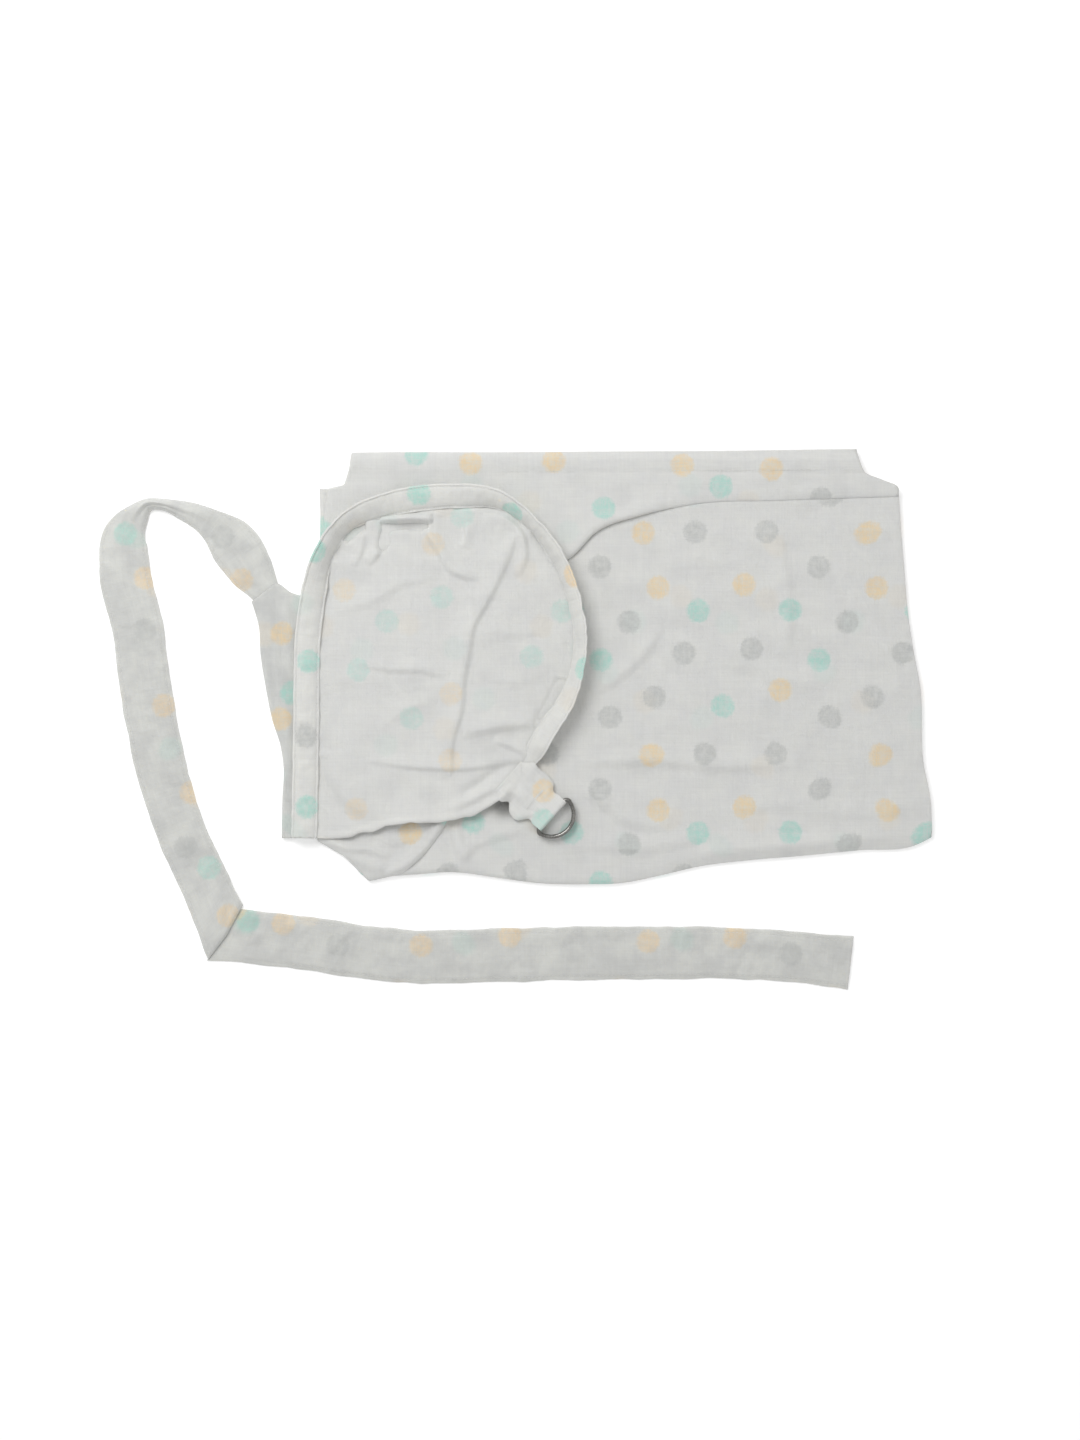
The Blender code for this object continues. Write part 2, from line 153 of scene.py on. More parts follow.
def path(points, at, smooth=True):
    """A curve through the points, read at shares of its length."""
    rows = np.array(points, float)
    if smooth and len(rows) > 2:
        long = np.maximum(np.linalg.norm(np.diff(rows[:, :2], axis=0), axis=1), 1e-6)[:, None]
        slope = np.diff(rows, axis=0) / long
        bend = (slope[:-1] * long[1:] + slope[1:] * long[:-1]) / (long[:-1] + long[1:])
        tangent = np.vstack([1.5 * slope[:1] - 0.5 * bend[:1], bend, 1.5 * slope[-1:] - 0.5 * bend[-1:]])
        t = np.linspace(0, 1, 16, endpoint=False)[:, None]
        spans = [(2 * t ** 3 - 3 * t ** 2 + 1) * rows[k] + (t ** 3 - 2 * t ** 2 + t) * long[k] * tangent[k]
                 + (3 * t ** 2 - 2 * t ** 3) * rows[k + 1] + (t ** 3 - t ** 2) * long[k] * tangent[k + 1]
                 for k in range(len(rows) - 1)]
        rows = np.vstack(spans + [rows[-1:]])
    gone = np.concatenate([[0], np.cumsum(np.linalg.norm(np.diff(rows[:, :2], axis=0), axis=1))])
    return np.stack([np.interp(np.asarray(at) * gone[-1], gone, rows[:, k]) for k in range(rows.shape[1])], 1)


def length_of(rows):
    rows = np.asarray(rows, float)
    return float(np.linalg.norm(np.diff(rows, axis=0), axis=1).sum())


CLOSE_ROWS = [0.0, 0.25, 0.7, 1.3, 2.1, 3.2]


def stations(length, step, fine_start=False, fine_end=False):
    """Shares of a length, with close rows at an end where the cloth folds over."""
    start = CLOSE_ROWS if fine_start else [0.0]
    end = [length - row for row in reversed(CLOSE_ROWS)] if fine_end else [length]
    count = max(2, round((end[0] - start[-1]) / step))
    middle = list(np.linspace(start[-1], end[0], count + 1)[1:-1])
    return np.array(start + middle + end) / length


def coons(bottom, right, top, left, us, vs, smooth=(1, 1, 1, 1)):
    """A smooth net between four edge curves: bottom and top run left to right, the others bottom to top."""
    low, east = path(bottom, us, smooth[0]), path(right, vs, smooth[1])
    high, west = path(top, us, smooth[2]), path(left, vs, smooth[3])
    u, v = us[None, :, None], vs[:, None, None]
    net = ((1 - v) * low[None] + v * high[None] + (1 - u) * west[:, None] + u * east[:, None]
           - ((1 - u) * (1 - v) * low[0] + u * (1 - v) * low[-1] + (1 - u) * v * high[0] + u * v * high[-1]))
    return net[..., 0], net[..., 1]


def near(x, y, line):
    """Distance from a line, positive on the left of travel, and the share of its length at that place."""
    line = np.array(line, float)[:, :2]
    steps = np.linalg.norm(np.diff(line, axis=0), axis=1)
    gone = np.concatenate([[0], np.cumsum(steps)])
    best, side, along = np.full(np.shape(x), 1e9), np.ones(np.shape(x)), np.zeros(np.shape(x))
    for k, (a, b) in enumerate(zip(line, line[1:])):
        run = b - a
        t = np.clip(((x - a[0]) * run[0] + (y - a[1]) * run[1]) / max(run @ run, 1e-9), 0, 1)
        dx, dy = x - a[0] - t * run[0], y - a[1] - t * run[1]
        d = np.hypot(dx, dy)
        closer = d < best
        best = np.where(closer, d, best)
        side = np.where(closer, np.where(run[0] * dy - run[1] * dx >= 0, 1.0, -1.0), side)
        along = np.where(closer, (gone[k] + t * steps[k]) / gone[-1], along)
    return best * side, along


def distance_to(x, y, line, count, smooth=True):
    """Distance from the curve through some points, and the share of its length."""
    off, along = near(x, y, path(line, np.linspace(0, 1, count), smooth))
    return np.abs(off), along


def points_of(x, y, z):
    return np.stack([x, y, z], -1).reshape(-1, 3)


def axes_of(co):
    return np.moveaxis(co, -1, 0)


def link(made):
    bpy.context.scene.collection.objects.link(made)
    return made


def crease(x, y, line, rise, wide, steep=1.0, fade=0.5):
    """A ridge along a line (or a valley, if rise is negative), steeper on the right of travel."""
    d, t = near(x, y, path(line, np.linspace(0, 1, 30)))
    w = np.where(d > 0, wide, wide / steep)
    return rise * bell(d, w) * np.clip(4 * t * (1 - t), 0, 1) ** fade


def creases(x, y, table):
    return sum(crease(x, y, *row) for row in table)


def wrinkles(x, y, size, seed, heading=0.0, stretch=2.5):
    """Thin soft ridges, longer one way, as crumpled muslin keeps them."""
    c, s = math.cos(math.radians(heading)), math.sin(math.radians(heading))
    along, over = (x * c + y * s) / stretch, y * c - x * s
    warp = 0.35 * size * noise(along, over, size * 1.7, seed + 1)
    n = noise(along + warp, over + warp, size, seed)
    return 0.62 - np.sqrt(n * n + 0.012) * 1.6


# ---------------------------------------------------------------- meshes
def print_at(x, y):
    """Distance to the nearest dot of each colour, for the flat print."""
    out = np.full(np.shape(x) + (3,), FAR)
    # the folded cloth pulls some rows of the print aside
    pull = bell(y + 26, 20)
    at_right = 8 * pull + 8 * bell(y - 160, 30) + 9 * bell(y + 75, 18)
    x = x - 7.5 * pull * ease(x, 60, 110) - ease(x, 235, 280) * at_right
    x = x + 14 * bell(y + 116, 14) * (1 - ease(x, 30, 60))
    by_hem = np.exp(-((x + 31) ** 2 + (y + 80) ** 2) / 400)
    x, y = x + 6 * by_hem, y - 10 * by_hem
    for cx, cy, colour in PRINT:
        dx = (x - cx + PRINT_TILE[0] / 2) % PRINT_TILE[0] - PRINT_TILE[0] / 2
        dy = (y - cy + PRINT_TILE[1] / 2) % PRINT_TILE[1] - PRINT_TILE[1] / 2
        out[..., colour] = np.minimum(out[..., colour], np.hypot(dx, dy))
    return out


def dots_on(co, dots):
    """Distance, over the surface, to the nearest of some dots that are placed from above."""
    out = np.full((len(co), 3), FAR)
    for cx, cy, colour in dots:
        flat = np.hypot(co[:, 0] - cx, co[:, 1] - cy)
        centre = co[np.argmin(np.maximum(flat, 1.5) - 0.25 * co[:, 2])]       # the highest point thereabouts
        out[:, colour] = np.minimum(out[:, colour], np.linalg.norm(co - centre, axis=1))
    return out


class Sheet:
    """Collects nets of points into one mesh, with the cloth's own coordinates and its print."""

    def __init__(self):
        self.co, self.faces, self.cloth, self.dots, self.ghost = [], [], [], [], []
        self.count = 0

    def net(self, x, y, z, u=None, v=None, dots=None, ghost=None, flip=False, around=False, faint=0.0):
        """Adds a net; u and v are its places on the flat cloth, and ghost is the print of the ply below."""
        rows, cols = x.shape
        index = np.arange(rows * cols).reshape(rows, cols) + self.count
        if around:
            index = np.concatenate([index, index[:, :1]], axis=1)
        quads = np.stack([index[:-1, :-1], index[:-1, 1:], index[1:, 1:], index[1:, :-1]], -1).reshape(-1, 4)
        self.faces.append(quads[:, ::-1] if flip else quads)
        co = points_of(x, y, z)
        u, v = (x if u is None else u), (y if v is None else v)
        self.co.append(co)
        self.cloth.append(np.stack([u, v, np.broadcast_to(faint, u.shape)], -1).reshape(-1, 3))
        self.dots.append(np.full(co.shape, FAR) if dots is None else np.asarray(dots).reshape(-1, 3))
        ghost = print_at(x + 61, y - 43) if ghost is None else np.asarray(ghost)
        self.ghost.append(ghost.reshape(-1, 3))
        self.count += rows * cols
        return index

    def object(self, name, material, weld=None, solid=PLY):
        mesh = bpy.data.meshes.new(name)
        co = np.concatenate(self.co)
        mesh.from_pydata((co * MM).tolist(), [], np.concatenate(self.faces).tolist())
        for label, rows in (("cloth", self.cloth), ("dots", self.dots), ("ghost", self.ghost)):
            layer = mesh.attributes.new(label, "FLOAT_VECTOR", "POINT")
            layer.data.foreach_set("vector", np.concatenate(rows).astype(np.float32).ravel())
        if weld:
            bm = bmesh.new()
            bm.from_mesh(mesh)
            bmesh.ops.remove_doubles(bm, verts=bm.verts, dist=weld * MM)
            bm.to_mesh(mesh)
            bm.free()
        mesh.shade_smooth()
        mesh.materials.append(material)
        made = link(bpy.data.objects.new(name, mesh))
        if solid:
            thick = made.modifiers.new("ply", "SOLIDIFY")
            thick.thickness = solid * MM
            thick.offset = 0
            thick.use_quality_normals = True
        return made


def plain_object(name, co, faces, material):
    mesh = bpy.data.meshes.new(name)
    mesh.from_pydata((np.asarray(co) * MM).tolist(), [], faces)
    mesh.shade_smooth()
    mesh.materials.append(material)
    return link(bpy.data.objects.new(name, mesh))


def thread_object(name, ends, radius, material):
    """Short lengths of thread, each from one point to another, as small round-ended stitches."""
    sides = 6
    turn = np.linspace(0, 2 * math.pi, sides, endpoint=False)
    ring_at, ring_size = np.array([0.0, 0.18, 0.5, 0.82, 1.0]), np.array([0.35, 0.9, 1.0, 0.9, 0.35])
    ends = np.asarray(ends, float)
    a, b = ends[:, 0], ends[:, 1]
    run = b - a
    long = np.linalg.norm(run, axis=1, keepdims=True)
    way = run / np.maximum(long, 1e-9)
    level = np.stack([-way[:, 1], way[:, 0], np.zeros(len(way))], 1)
    level /= np.maximum(np.linalg.norm(level, axis=1, keepdims=True), 1e-9)
    rise = np.cross(way, level)
    rings = []
    for at, size in zip(ring_at, ring_size):
        centre = a + run * at + rise * (radius * 0.5 * math.sin(math.pi * at))
        for t in turn:
            rings.append(centre + (level * math.cos(t) + rise * math.sin(t)) * radius * size)
    co = np.stack(rings, 1)
    per = sides * len(ring_at)
    quads = [(r + s, r + (s + 1) % sides, r + sides + (s + 1) % sides, r + sides + s)
             for r in range(0, per - sides, sides) for s in range(sides)]
    caps = [tuple(reversed(range(sides))), tuple(range(per - sides, per))]
    faces = [tuple(i + n * per for i in f) for n in range(len(ends)) for f in quads + caps]
    return plain_object(name, co.reshape(-1, 3), faces, material)


def stitches_along(rows, pitch=3.0, stitch=2.1):
    """Pairs of end points for a row of stitches along a line of points."""
    rows = np.asarray(rows, float)
    gone = np.concatenate([[0], np.cumsum(np.linalg.norm(np.diff(rows, axis=0), axis=1))])
    starts = np.arange(pitch * 0.5, gone[-1] - stitch, pitch)

    def at(where):
        return np.stack([np.interp(where, gone, rows[:, k]) for k in range(3)], 1)
    return np.stack([at(starts), at(starts + stitch)], 1)


# ---------------------------------------------------------------- materials
def material(name):
    made = bpy.data.materials.new(name)
    made.use_nodes = True
    return made, made.node_tree.nodes, made.node_tree.links, made.node_tree.nodes["Principled BSDF"]


class Graph:
    """Short ways to add and join shader nodes."""

    def __init__(self, tree):
        self.nodes, self.links = tree.nodes, tree.links

    def put(self, target, value):
        if isinstance(value, bpy.types.NodeSocket):
            self.links.new(value, target)
        else:
            target.default_value = value

    def maths(self, kind, a, b=0.0):
        node = self.nodes.new("ShaderNodeMath")
        node.operation = kind
        for socket, value in zip(node.inputs, (a, b)):
            self.put(socket, value)
        return node.outputs[0]

    def vector(self, kind, a, b=(0, 0, 0)):
        node = self.nodes.new("ShaderNodeVectorMath")
        node.operation = kind
        self.put(node.inputs[0], a)
        self.put(node.inputs[1], b)
        return node.outputs[0]

    def attribute(self, name):
        node = self.nodes.new("ShaderNodeAttribute")
        node.attribute_name = name
        return node.outputs["Vector"]

    def split(self, vector):
        node = self.nodes.new("ShaderNodeSeparateXYZ")
        self.links.new(vector, node.inputs[0])
        return node.outputs

    def noise(self, where, scale, detail=2.0, rough=0.5, distort=0.0):
        node = self.nodes.new("ShaderNodeTexNoise")
        node.inputs["Scale"].default_value = scale
        node.inputs["Detail"].default_value = detail
        node.inputs["Roughness"].default_value = rough
        node.inputs["Distortion"].default_value = distort
        self.put(node.inputs["Vector"], where)
        return node.outputs[0]

    def remap(self, value, low, high, to_low=0.0, to_high=1.0, soft=True):
        node = self.nodes.new("ShaderNodeMapRange")
        node.interpolation_type = "SMOOTHSTEP" if soft else "LINEAR"
        node.clamp = True
        for socket, number in zip(node.inputs, (value, low, high, to_low, to_high)):
            self.put(socket, number)
        return node.outputs[0]

    def mix(self, share, a, b):
        node = self.nodes.new("ShaderNodeMix")
        node.data_type = "RGBA"
        self.put(node.inputs["Factor"], share)
        self.put(node.inputs["A"], a if isinstance(a, bpy.types.NodeSocket) else (*a, 1))
        self.put(node.inputs["B"], b if isinstance(b, bpy.types.NodeSocket) else (*b, 1))
        return node.outputs["Result"]

    def times(self, *values):
        product = values[0]
        for value in values[1:]:
            product = self.maths("MULTIPLY", product, value)
        return product

    def centred(self, value, middle, gain):
        """The value's swing about its middle, times a gain."""
        return self.maths("MULTIPLY", self.maths("SUBTRACT", value, middle), gain)

    def bump(self, height, strength, distance, normal=None):
        node = self.nodes.new("ShaderNodeBump")
        node.inputs["Strength"].default_value = strength
        node.inputs["Distance"].default_value = distance
        self.links.new(height, node.inputs["Height"])
        if normal is not None:
            self.links.new(normal, node.inputs["Normal"])
        return node.outputs[0]


CLOTH_WHITE = (0.735, 0.735, 0.715)
DOT_RADIUS = 8.9
DOT_COLOURS = ((0.41, 0.69, 0.61), (0.84, 0.65, 0.40), (0.53, 0.54, 0.525))


def muslin_material(name, white=CLOTH_WHITE, ghost_strength=0.11, shade=0.975):
    """Double muslin: woven threads with slubs, a ragged screen print, and the ply below showing through."""
    made, _, links, shader = material(name)
    g = Graph(made.node_tree)
    cloth = g.attribute("cloth")
    where = g.vector("MULTIPLY", cloth, (1.0, 1.0, 0.0))
    strong = g.maths("SUBTRACT", 1.0, g.split(cloth)[2])
    # threads: long thin streaks both ways, with slubs
    warp = g.noise(g.vector("MULTIPLY", where, (1.0, 0.045, 1.0)), 0.85, 3.0, 0.65)
    weft = g.noise(g.vector("MULTIPLY", where, (0.045, 1.0, 1.0)), 0.85, 3.0, 0.65)
    weave = g.maths("ADD", warp, weft)
    wide_slubs = g.noise(g.vector("MULTIPLY", where, (0.3, 0.02, 1.0)), 1.0, 2.0)
    slubs_across = g.noise(g.vector("MULTIPLY", where, (0.02, 0.3, 1.0)), 1.0, 2.0)
    mottle = g.noise(where, 0.05, 3.0, 0.6)
    crinkle = g.noise(g.vector("MULTIPLY", where, (1.0, 0.7, 1.0)), 0.16, 3.0, 0.62, 0.7)
    fine = g.noise(where, 1.9, 2.0, 0.6)

    tone = g.times(g.remap(weave, 0.72, 1.28, 0.965, 1.02, soft=False),
                   g.remap(g.maths("ADD", wide_slubs, slubs_across), 0.7, 1.3, 0.985, 1.012),
                   g.remap(mottle, 0.3, 0.7, shade, 1.02))
    colour = g.mix(g.remap(mottle, 0.35, 0.65), white, tuple(c * s for c, s in zip(white, (1.0, 1.0, 0.985))))

    # the dots' edges: ragged where printed on this ply, and soft where they show through from below
    ragged = g.maths("ADD", g.centred(g.noise(where, 0.36, 3.0, 0.7), 0.5, 4.6), g.centred(weave, 1.0, 3.0))
    wash = g.remap(g.noise(where, 0.21, 3.0, 0.7), 0.28, 0.66, 0.46, 0.92)
    threads_missed = g.remap(weave, 0.72, 1.2, 0.55, 1.0)
    soft = g.centred(g.noise(where, 0.18, 2.0), 0.5, 4.0)
    for field, strength, edge, blur in (("ghost", ghost_strength, soft, 2.6), ("dots", strong, ragged, 1.5)):
        distances = g.split(g.attribute(field))
        for channel, dot in enumerate(DOT_COLOURS):
            reach = g.maths("ADD", distances[channel], edge)
            mask = g.times(g.remap(reach, DOT_RADIUS - blur, DOT_RADIUS + blur, 1.0, 0.0), strength)
            if field == "dots":
                mask = g.times(mask, wash, threads_missed)
            colour = g.mix(mask, colour, dot)
    # painted shade: the tone is darkened where a piece carries a painted shade value (only the panel, in the
    # hollow beside the tab)
    tone = g.times(tone, g.maths("SUBTRACT", 1.0, g.split(g.attribute("painted_shade"))[0]))
    combine = g.nodes.new("ShaderNodeVectorMath")
    combine.operation = "SCALE"
    links.new(colour, combine.inputs[0])
    links.new(tone, combine.inputs["Scale"])
    links.new(combine.outputs[0], shader.inputs["Base Color"])

    for socket, value in (("Roughness", 0.92), ("Specular IOR Level", 0.18), ("Sheen Weight", 0.22),
                          ("Sheen Roughness", 0.6), ("Subsurface Weight", 0.35),
                          ("Subsurface Radius", (1.0, 0.95, 0.85)), ("Subsurface Scale", 2.5 * MM)):
        shader.inputs[socket].default_value = value
    relief = g.bump(crinkle, 0.55, 0.9 * MM)
    relief = g.bump(weave, 0.42, 0.35 * MM, relief)
    relief = g.bump(fine, 0.25, 0.12 * MM, relief)
    links.new(relief, shader.inputs["Normal"])
    return made


def thread_material(name, colour):
    made, nodes, links, shader = material(name)
    g = Graph(made.node_tree)
    where = nodes.new("ShaderNodeTexCoord").outputs["Object"]
    twist = g.noise(where, 2600.0, 2.0, 0.6)
    uneven = g.noise(where, 120.0, 2.0)
    in_shade = tuple(c * 0.86 for c in colour)
    links.new(g.mix(g.remap(twist, 0.35, 0.65), in_shade, colour), shader.inputs["Base Color"])
    links.new(g.remap(uneven, 0.3, 0.7, 0.62, 0.8), shader.inputs["Roughness"])
    links.new(g.bump(twist, 0.5, 0.1 * MM), shader.inputs["Normal"])
    shader.inputs["Sheen Weight"].default_value = 0.2
    return made


def nickel_material():
    made, nodes, links, shader = material("nickel")
    g = Graph(made.node_tree)
    where = nodes.new("ShaderNodeTexCoord").outputs["Object"]
    drawn = g.noise(g.vector("MULTIPLY", where, (1.0, 1.0, 0.25)), 900.0, 3.0, 0.6)
    worn = g.noise(where, 130.0, 3.0, 0.6)
    metal = g.mix(g.remap(worn, 0.3, 0.7), (0.20, 0.195, 0.185), (0.30, 0.295, 0.28))
    links.new(metal, shader.inputs["Base Color"])
    links.new(g.remap(g.maths("ADD", drawn, worn), 0.7, 1.3, 0.16, 0.32), shader.inputs["Roughness"])
    links.new(g.bump(drawn, 0.08, 0.03 * MM), shader.inputs["Normal"])
    shader.inputs["Metallic"].default_value = 1.0
    return made


def plastic_material():
    made, nodes, links, shader = material("boning_plastic")
    g = Graph(made.node_tree)
    where = nodes.new("ShaderNodeTexCoord").outputs["Object"]
    ribs = g.noise(g.vector("MULTIPLY", where, (1.0, 1.0, 6.0)), 400.0, 3.0, 0.6)
    resin = g.mix(g.remap(ribs, 0.3, 0.7), (0.70, 0.70, 0.68), (0.78, 0.78, 0.76))
    links.new(resin, shader.inputs["Base Color"])
    links.new(g.remap(ribs, 0.3, 0.7, 0.35, 0.5), shader.inputs["Roughness"])
    links.new(g.bump(ribs, 0.15, 0.08 * MM), shader.inputs["Normal"])
    return made


MUSLIN = muslin_material("muslin_print")
STRAP_MUSLIN = muslin_material("muslin_strap", (0.672, 0.677, 0.658), 0.17, 0.9)
THREAD = thread_material("white_thread", (0.80, 0.80, 0.78))
NICKEL = nickel_material()
PLASTIC = plastic_material()


# ---------------------------------------------------------------- the folded panel
RIGHT_EDGE = [
    (321, -90.5), (319.6, -62), (314, -31), (312, 23), (306.5, 53.5), (303, 77), (299, 123), (296.5, 154),
    (295, 177),
]
BOTTOM_EDGE = [
    (-146, -96), (-132, -104), (-112, -122.6), (-98, -121), (-73, -119), (-50, -117.4), (-12, -122),
    (19, -126), (58, -126.7), (81, -126), (112, -120), (142.5, -113), (181, -108.2), (219.5, -105),
    (266, -100.5), (308, -97), (321, -90.5),
]
TOP_EDGE = [
    (-150.5, 177.5), (-132, 179), (-118, 192), (0, 197), (120, 198), (200, 198), (238, 198), (252, 197.5),
    (260, 194.5), (268, 190.5), (282, 184), (295, 177),
]
LEFT_EDGE = [(-146, -96), (-150, -60), (-151, 0), (-150, 60), (-149.6, 130), (-150.5, 177.5)]
PLY_LEVELS = [0.6, 2.2, 3.8, 5.4]       # heights of the four plies, lowest first
PAIR_MIDDLES = [1.4, 1.4, 4.6, 4.6]     # where each pair of plies turns over at the right-hand fold
STACK_MIDDLE = 3.0                      # where the stack turns over at the near fold
FLOOR_GAP = 0.42                        # half a ply above the floor
TOP_SWELL = 0.6                         # the mean swell at the top ply


def broad_relief(x, y):
    """The whole stack's soft swell, in millimetres at the top ply."""
    return 1.0 * noise(x, y * 1.3, 120, 3) + 0.75 * noise(x + 0.5 * y, y * 1.6, 52, 4)


# ridge line, rise, width, and how much steeper its right-hand side is
PANEL_CREASES = [
    ([(48, -34), (110, -32), (165, -36), (222, -33)], 1.5, 8, 2.6),
    ([(60, 20), (78, 32), (98, 50), (112, 70)], 1.3, 7, 2.4),
    ([(150, 45), (185, 40), (215, 30), (250, 32)], 0.8, 9, 1.8),
    ([(208, 50), (212, 84), (206, 120), (200, 160)], 1.0, 7, 2.4),
    ([(296, 20), (300, -20), (306, -60)], -1.0, 12),
    ([(40, -52), (66, -62), (90, -80), (120, -82)], 1.5, 8, 2.6),
    ([(20, -100), (60, -96), (105, -98), (150, -88)], 1.2, 9, 2.0),
    ([(-45, -112), (-30, -96), (-8, -88), (14, -86)], 1.4, 6, 2.2),
    ([(118, -108), (180, -100), (240, -95), (300, -90)], 1.3, 6, 1.8),
    ([(75, 138), (110, 148), (160, 156), (240, 160)], -1.2, 9),
    ([(160, -70), (205, -66), (260, -72), (310, -66)], 0.9, 9, 2.2),
    ([(236, 120), (262, 96), (284, 60), (296, 30)], 0.8, 8, 2.0),
    ([(120, 118), (160, 122), (196, 116)], 0.6, 8, 2.0),
    ([(-54, -84), (-50, -96), (-45, -110)], -1.6, 3.2),
    ([(-48, -82), (-43, -95), (-38, -108)], 1.3, 4, 1.6),
]


def top_relief(x, y):
    """Wrinkles of the top ply, flattened where the hem, the bib and the rings lie on it."""
    relief = 0.45 * noise(x * 0.8, y * 1.5, 30, 5) + 0.18 * noise(x, y * 1.2, 13, 6)
    relief = relief + 0.07 * noise(x, y, 6, 7)
    relief = relief + 0.42 * wrinkles(x, y, 34, 8, 12) + 0.26 * wrinkles(x, y, 19, 9, -28)
    relief = relief + 0.12 * wrinkles(x, y, 9, 10, 70, 1.8)
    relief = 1.6 * relief + 1.9 * creases(x, y, PANEL_CREASES)
    # a valley levels off before it reaches the next ply
    level, deepest = -0.2, -0.65
    room = level - deepest
    valley = deepest + room * np.exp(np.minimum(relief - level, 0) / room)
    relief = np.where(relief < level, valley, relief)
    under_hem = ease(near(x, y, path(STRIP_LOWER, np.linspace(0, 1, 60)))[0], -7, -1)
    under_bib = ease(56 - x, 0, 10) * ease(y, -84, -72)
    relief = relief * (1 - under_hem) * (1 - under_bib)
    under_rings = bell((x - 37) ** 2 + (y + 80) ** 2, 700)
    return relief * (1 - under_rings) + (2.6 - broad_relief(x, y)) * under_rings


def folded_panel():
    """The four plies, joined in pairs at the right-hand fold and as a stack at the near fold."""
    sheet = Sheet()
    us = stations(470, 2.6, fine_end=True)
    vs = stations(300, 2.6, fine_start=True)
    for ply, level in enumerate(PLY_LEVELS):
        left = [(x + (0, 3.5, 2, 0)[ply], y) for x, y in LEFT_EDGE]
        top = [(x + (0, 3.5, 2, 0)[ply], y - (1.0, 3.0, 1.6, 0)[ply]) for x, y in TOP_EDGE]
        right, bottom = [list(p) for p in RIGHT_EDGE], [list(p) for p in BOTTOM_EDGE]
        if ply in (0, 1):       # the lower pair folds a little short of the upper one
            for p in right[1:]:
                p[0] -= 2.4
        if ply in (1, 2):       # the inner pair folds inside the outer one
            for p in bottom[:-1]:
                p[1] += 2.6
        left[0], right[0], top[0], top[-1] = bottom[0], bottom[-1], left[-1], right[-1]
        x, y = coons(bottom, right, top, left, us, vs)
        wobble = noise(x, y, 40, 11 + ply)
        x = x + 0.8 * wobble * (1 - us[None]) * ease(vs, 0.02, 0.1)[:, None]
        to_right, to_bottom = distance_to(x, y, right, 60)[0], distance_to(x, y, bottom, 120)[0]
        swell = broad_relief(x, y)
        share = (ply + 1) / 4
        z = level + (swell + TOP_SWELL) * share + 0.16 * noise(x, y, 24, 20 + ply)
        if ply == 3:
            z = z + top_relief(x, y)
        pair = PAIR_MIDDLES[ply] + (swell + TOP_SWELL) * (0.4 if ply < 2 else 0.85)
        z = pair + (z - pair) * rounded(to_right, 2.2)
        reach = 4.0 + 9 * ease(x, 60, 120) * (ply == 3) if ply in (0, 3) else 2.2
        middle = STACK_MIDDLE + 0.4 * swell
        z = np.maximum(middle + (z - middle) * rounded(to_bottom, reach), FLOOR_GAP)
        dots = print_at(x, y) if ply == 3 else print_at(-x + 37 * ply, y + 61 * ply)
        if ply == 3:            # beyond the hoop the top ply shows only one dot of its own
            corner_dot = np.full(dots.shape, FAR)
            corner_dot[..., TEAL] = np.hypot(x + 148, y - 147)
            dots = np.where((x < -100)[..., None] & (y > 100)[..., None], corner_dot, dots)
        sheet.net(x, y, z, dots=dots, ghost=print_at(640 - x, y + 9), flip=ply in (0, 2))
    made = sheet.object("folded_panel", MUSLIN, weld=0.02)
    # painted shade: the cloth's colour is darkened in the hollow between the bib's hem and the tab, where it
    # lies in deep shade
    at = np.array([vertex.co[:] for vertex in made.data.vertices]) / MM
    hollow = np.exp(-(((at[:, 0] + 8.5) / 9.5) ** 2 + ((at[:, 1] + 67.5) / 8.0) ** 2) ** 1.5)
    painted_shade = made.data.attributes.new("painted_shade", "FLOAT", "POINT")
    painted_shade.data.foreach_set("value", (0.62 * hollow).astype(np.float32))
    return made


STRIP_LOWER = [
    (-148, 136), (-100, 128), (-40, 118), (20, 112), (45, 126.5), (62, 144), (97, 157), (140, 166),
    (201, 168.5), (294.6, 171.5),
]
STRIP_UPPER = [
    (-144, 177), (-131, 180), (-127, 193), (-125.5, 205), (-90, 205.6), (0, 205.5), (150, 206.5), (263, 208),
]
HEM_LINE = [(-60, 190.6), (60, 190.8), (160, 191.4), (262, 192)]      # the hem's row of stitches
PANEL_TOP = 5.4 + 0.6                   # the top ply's mean height, under the hem fold


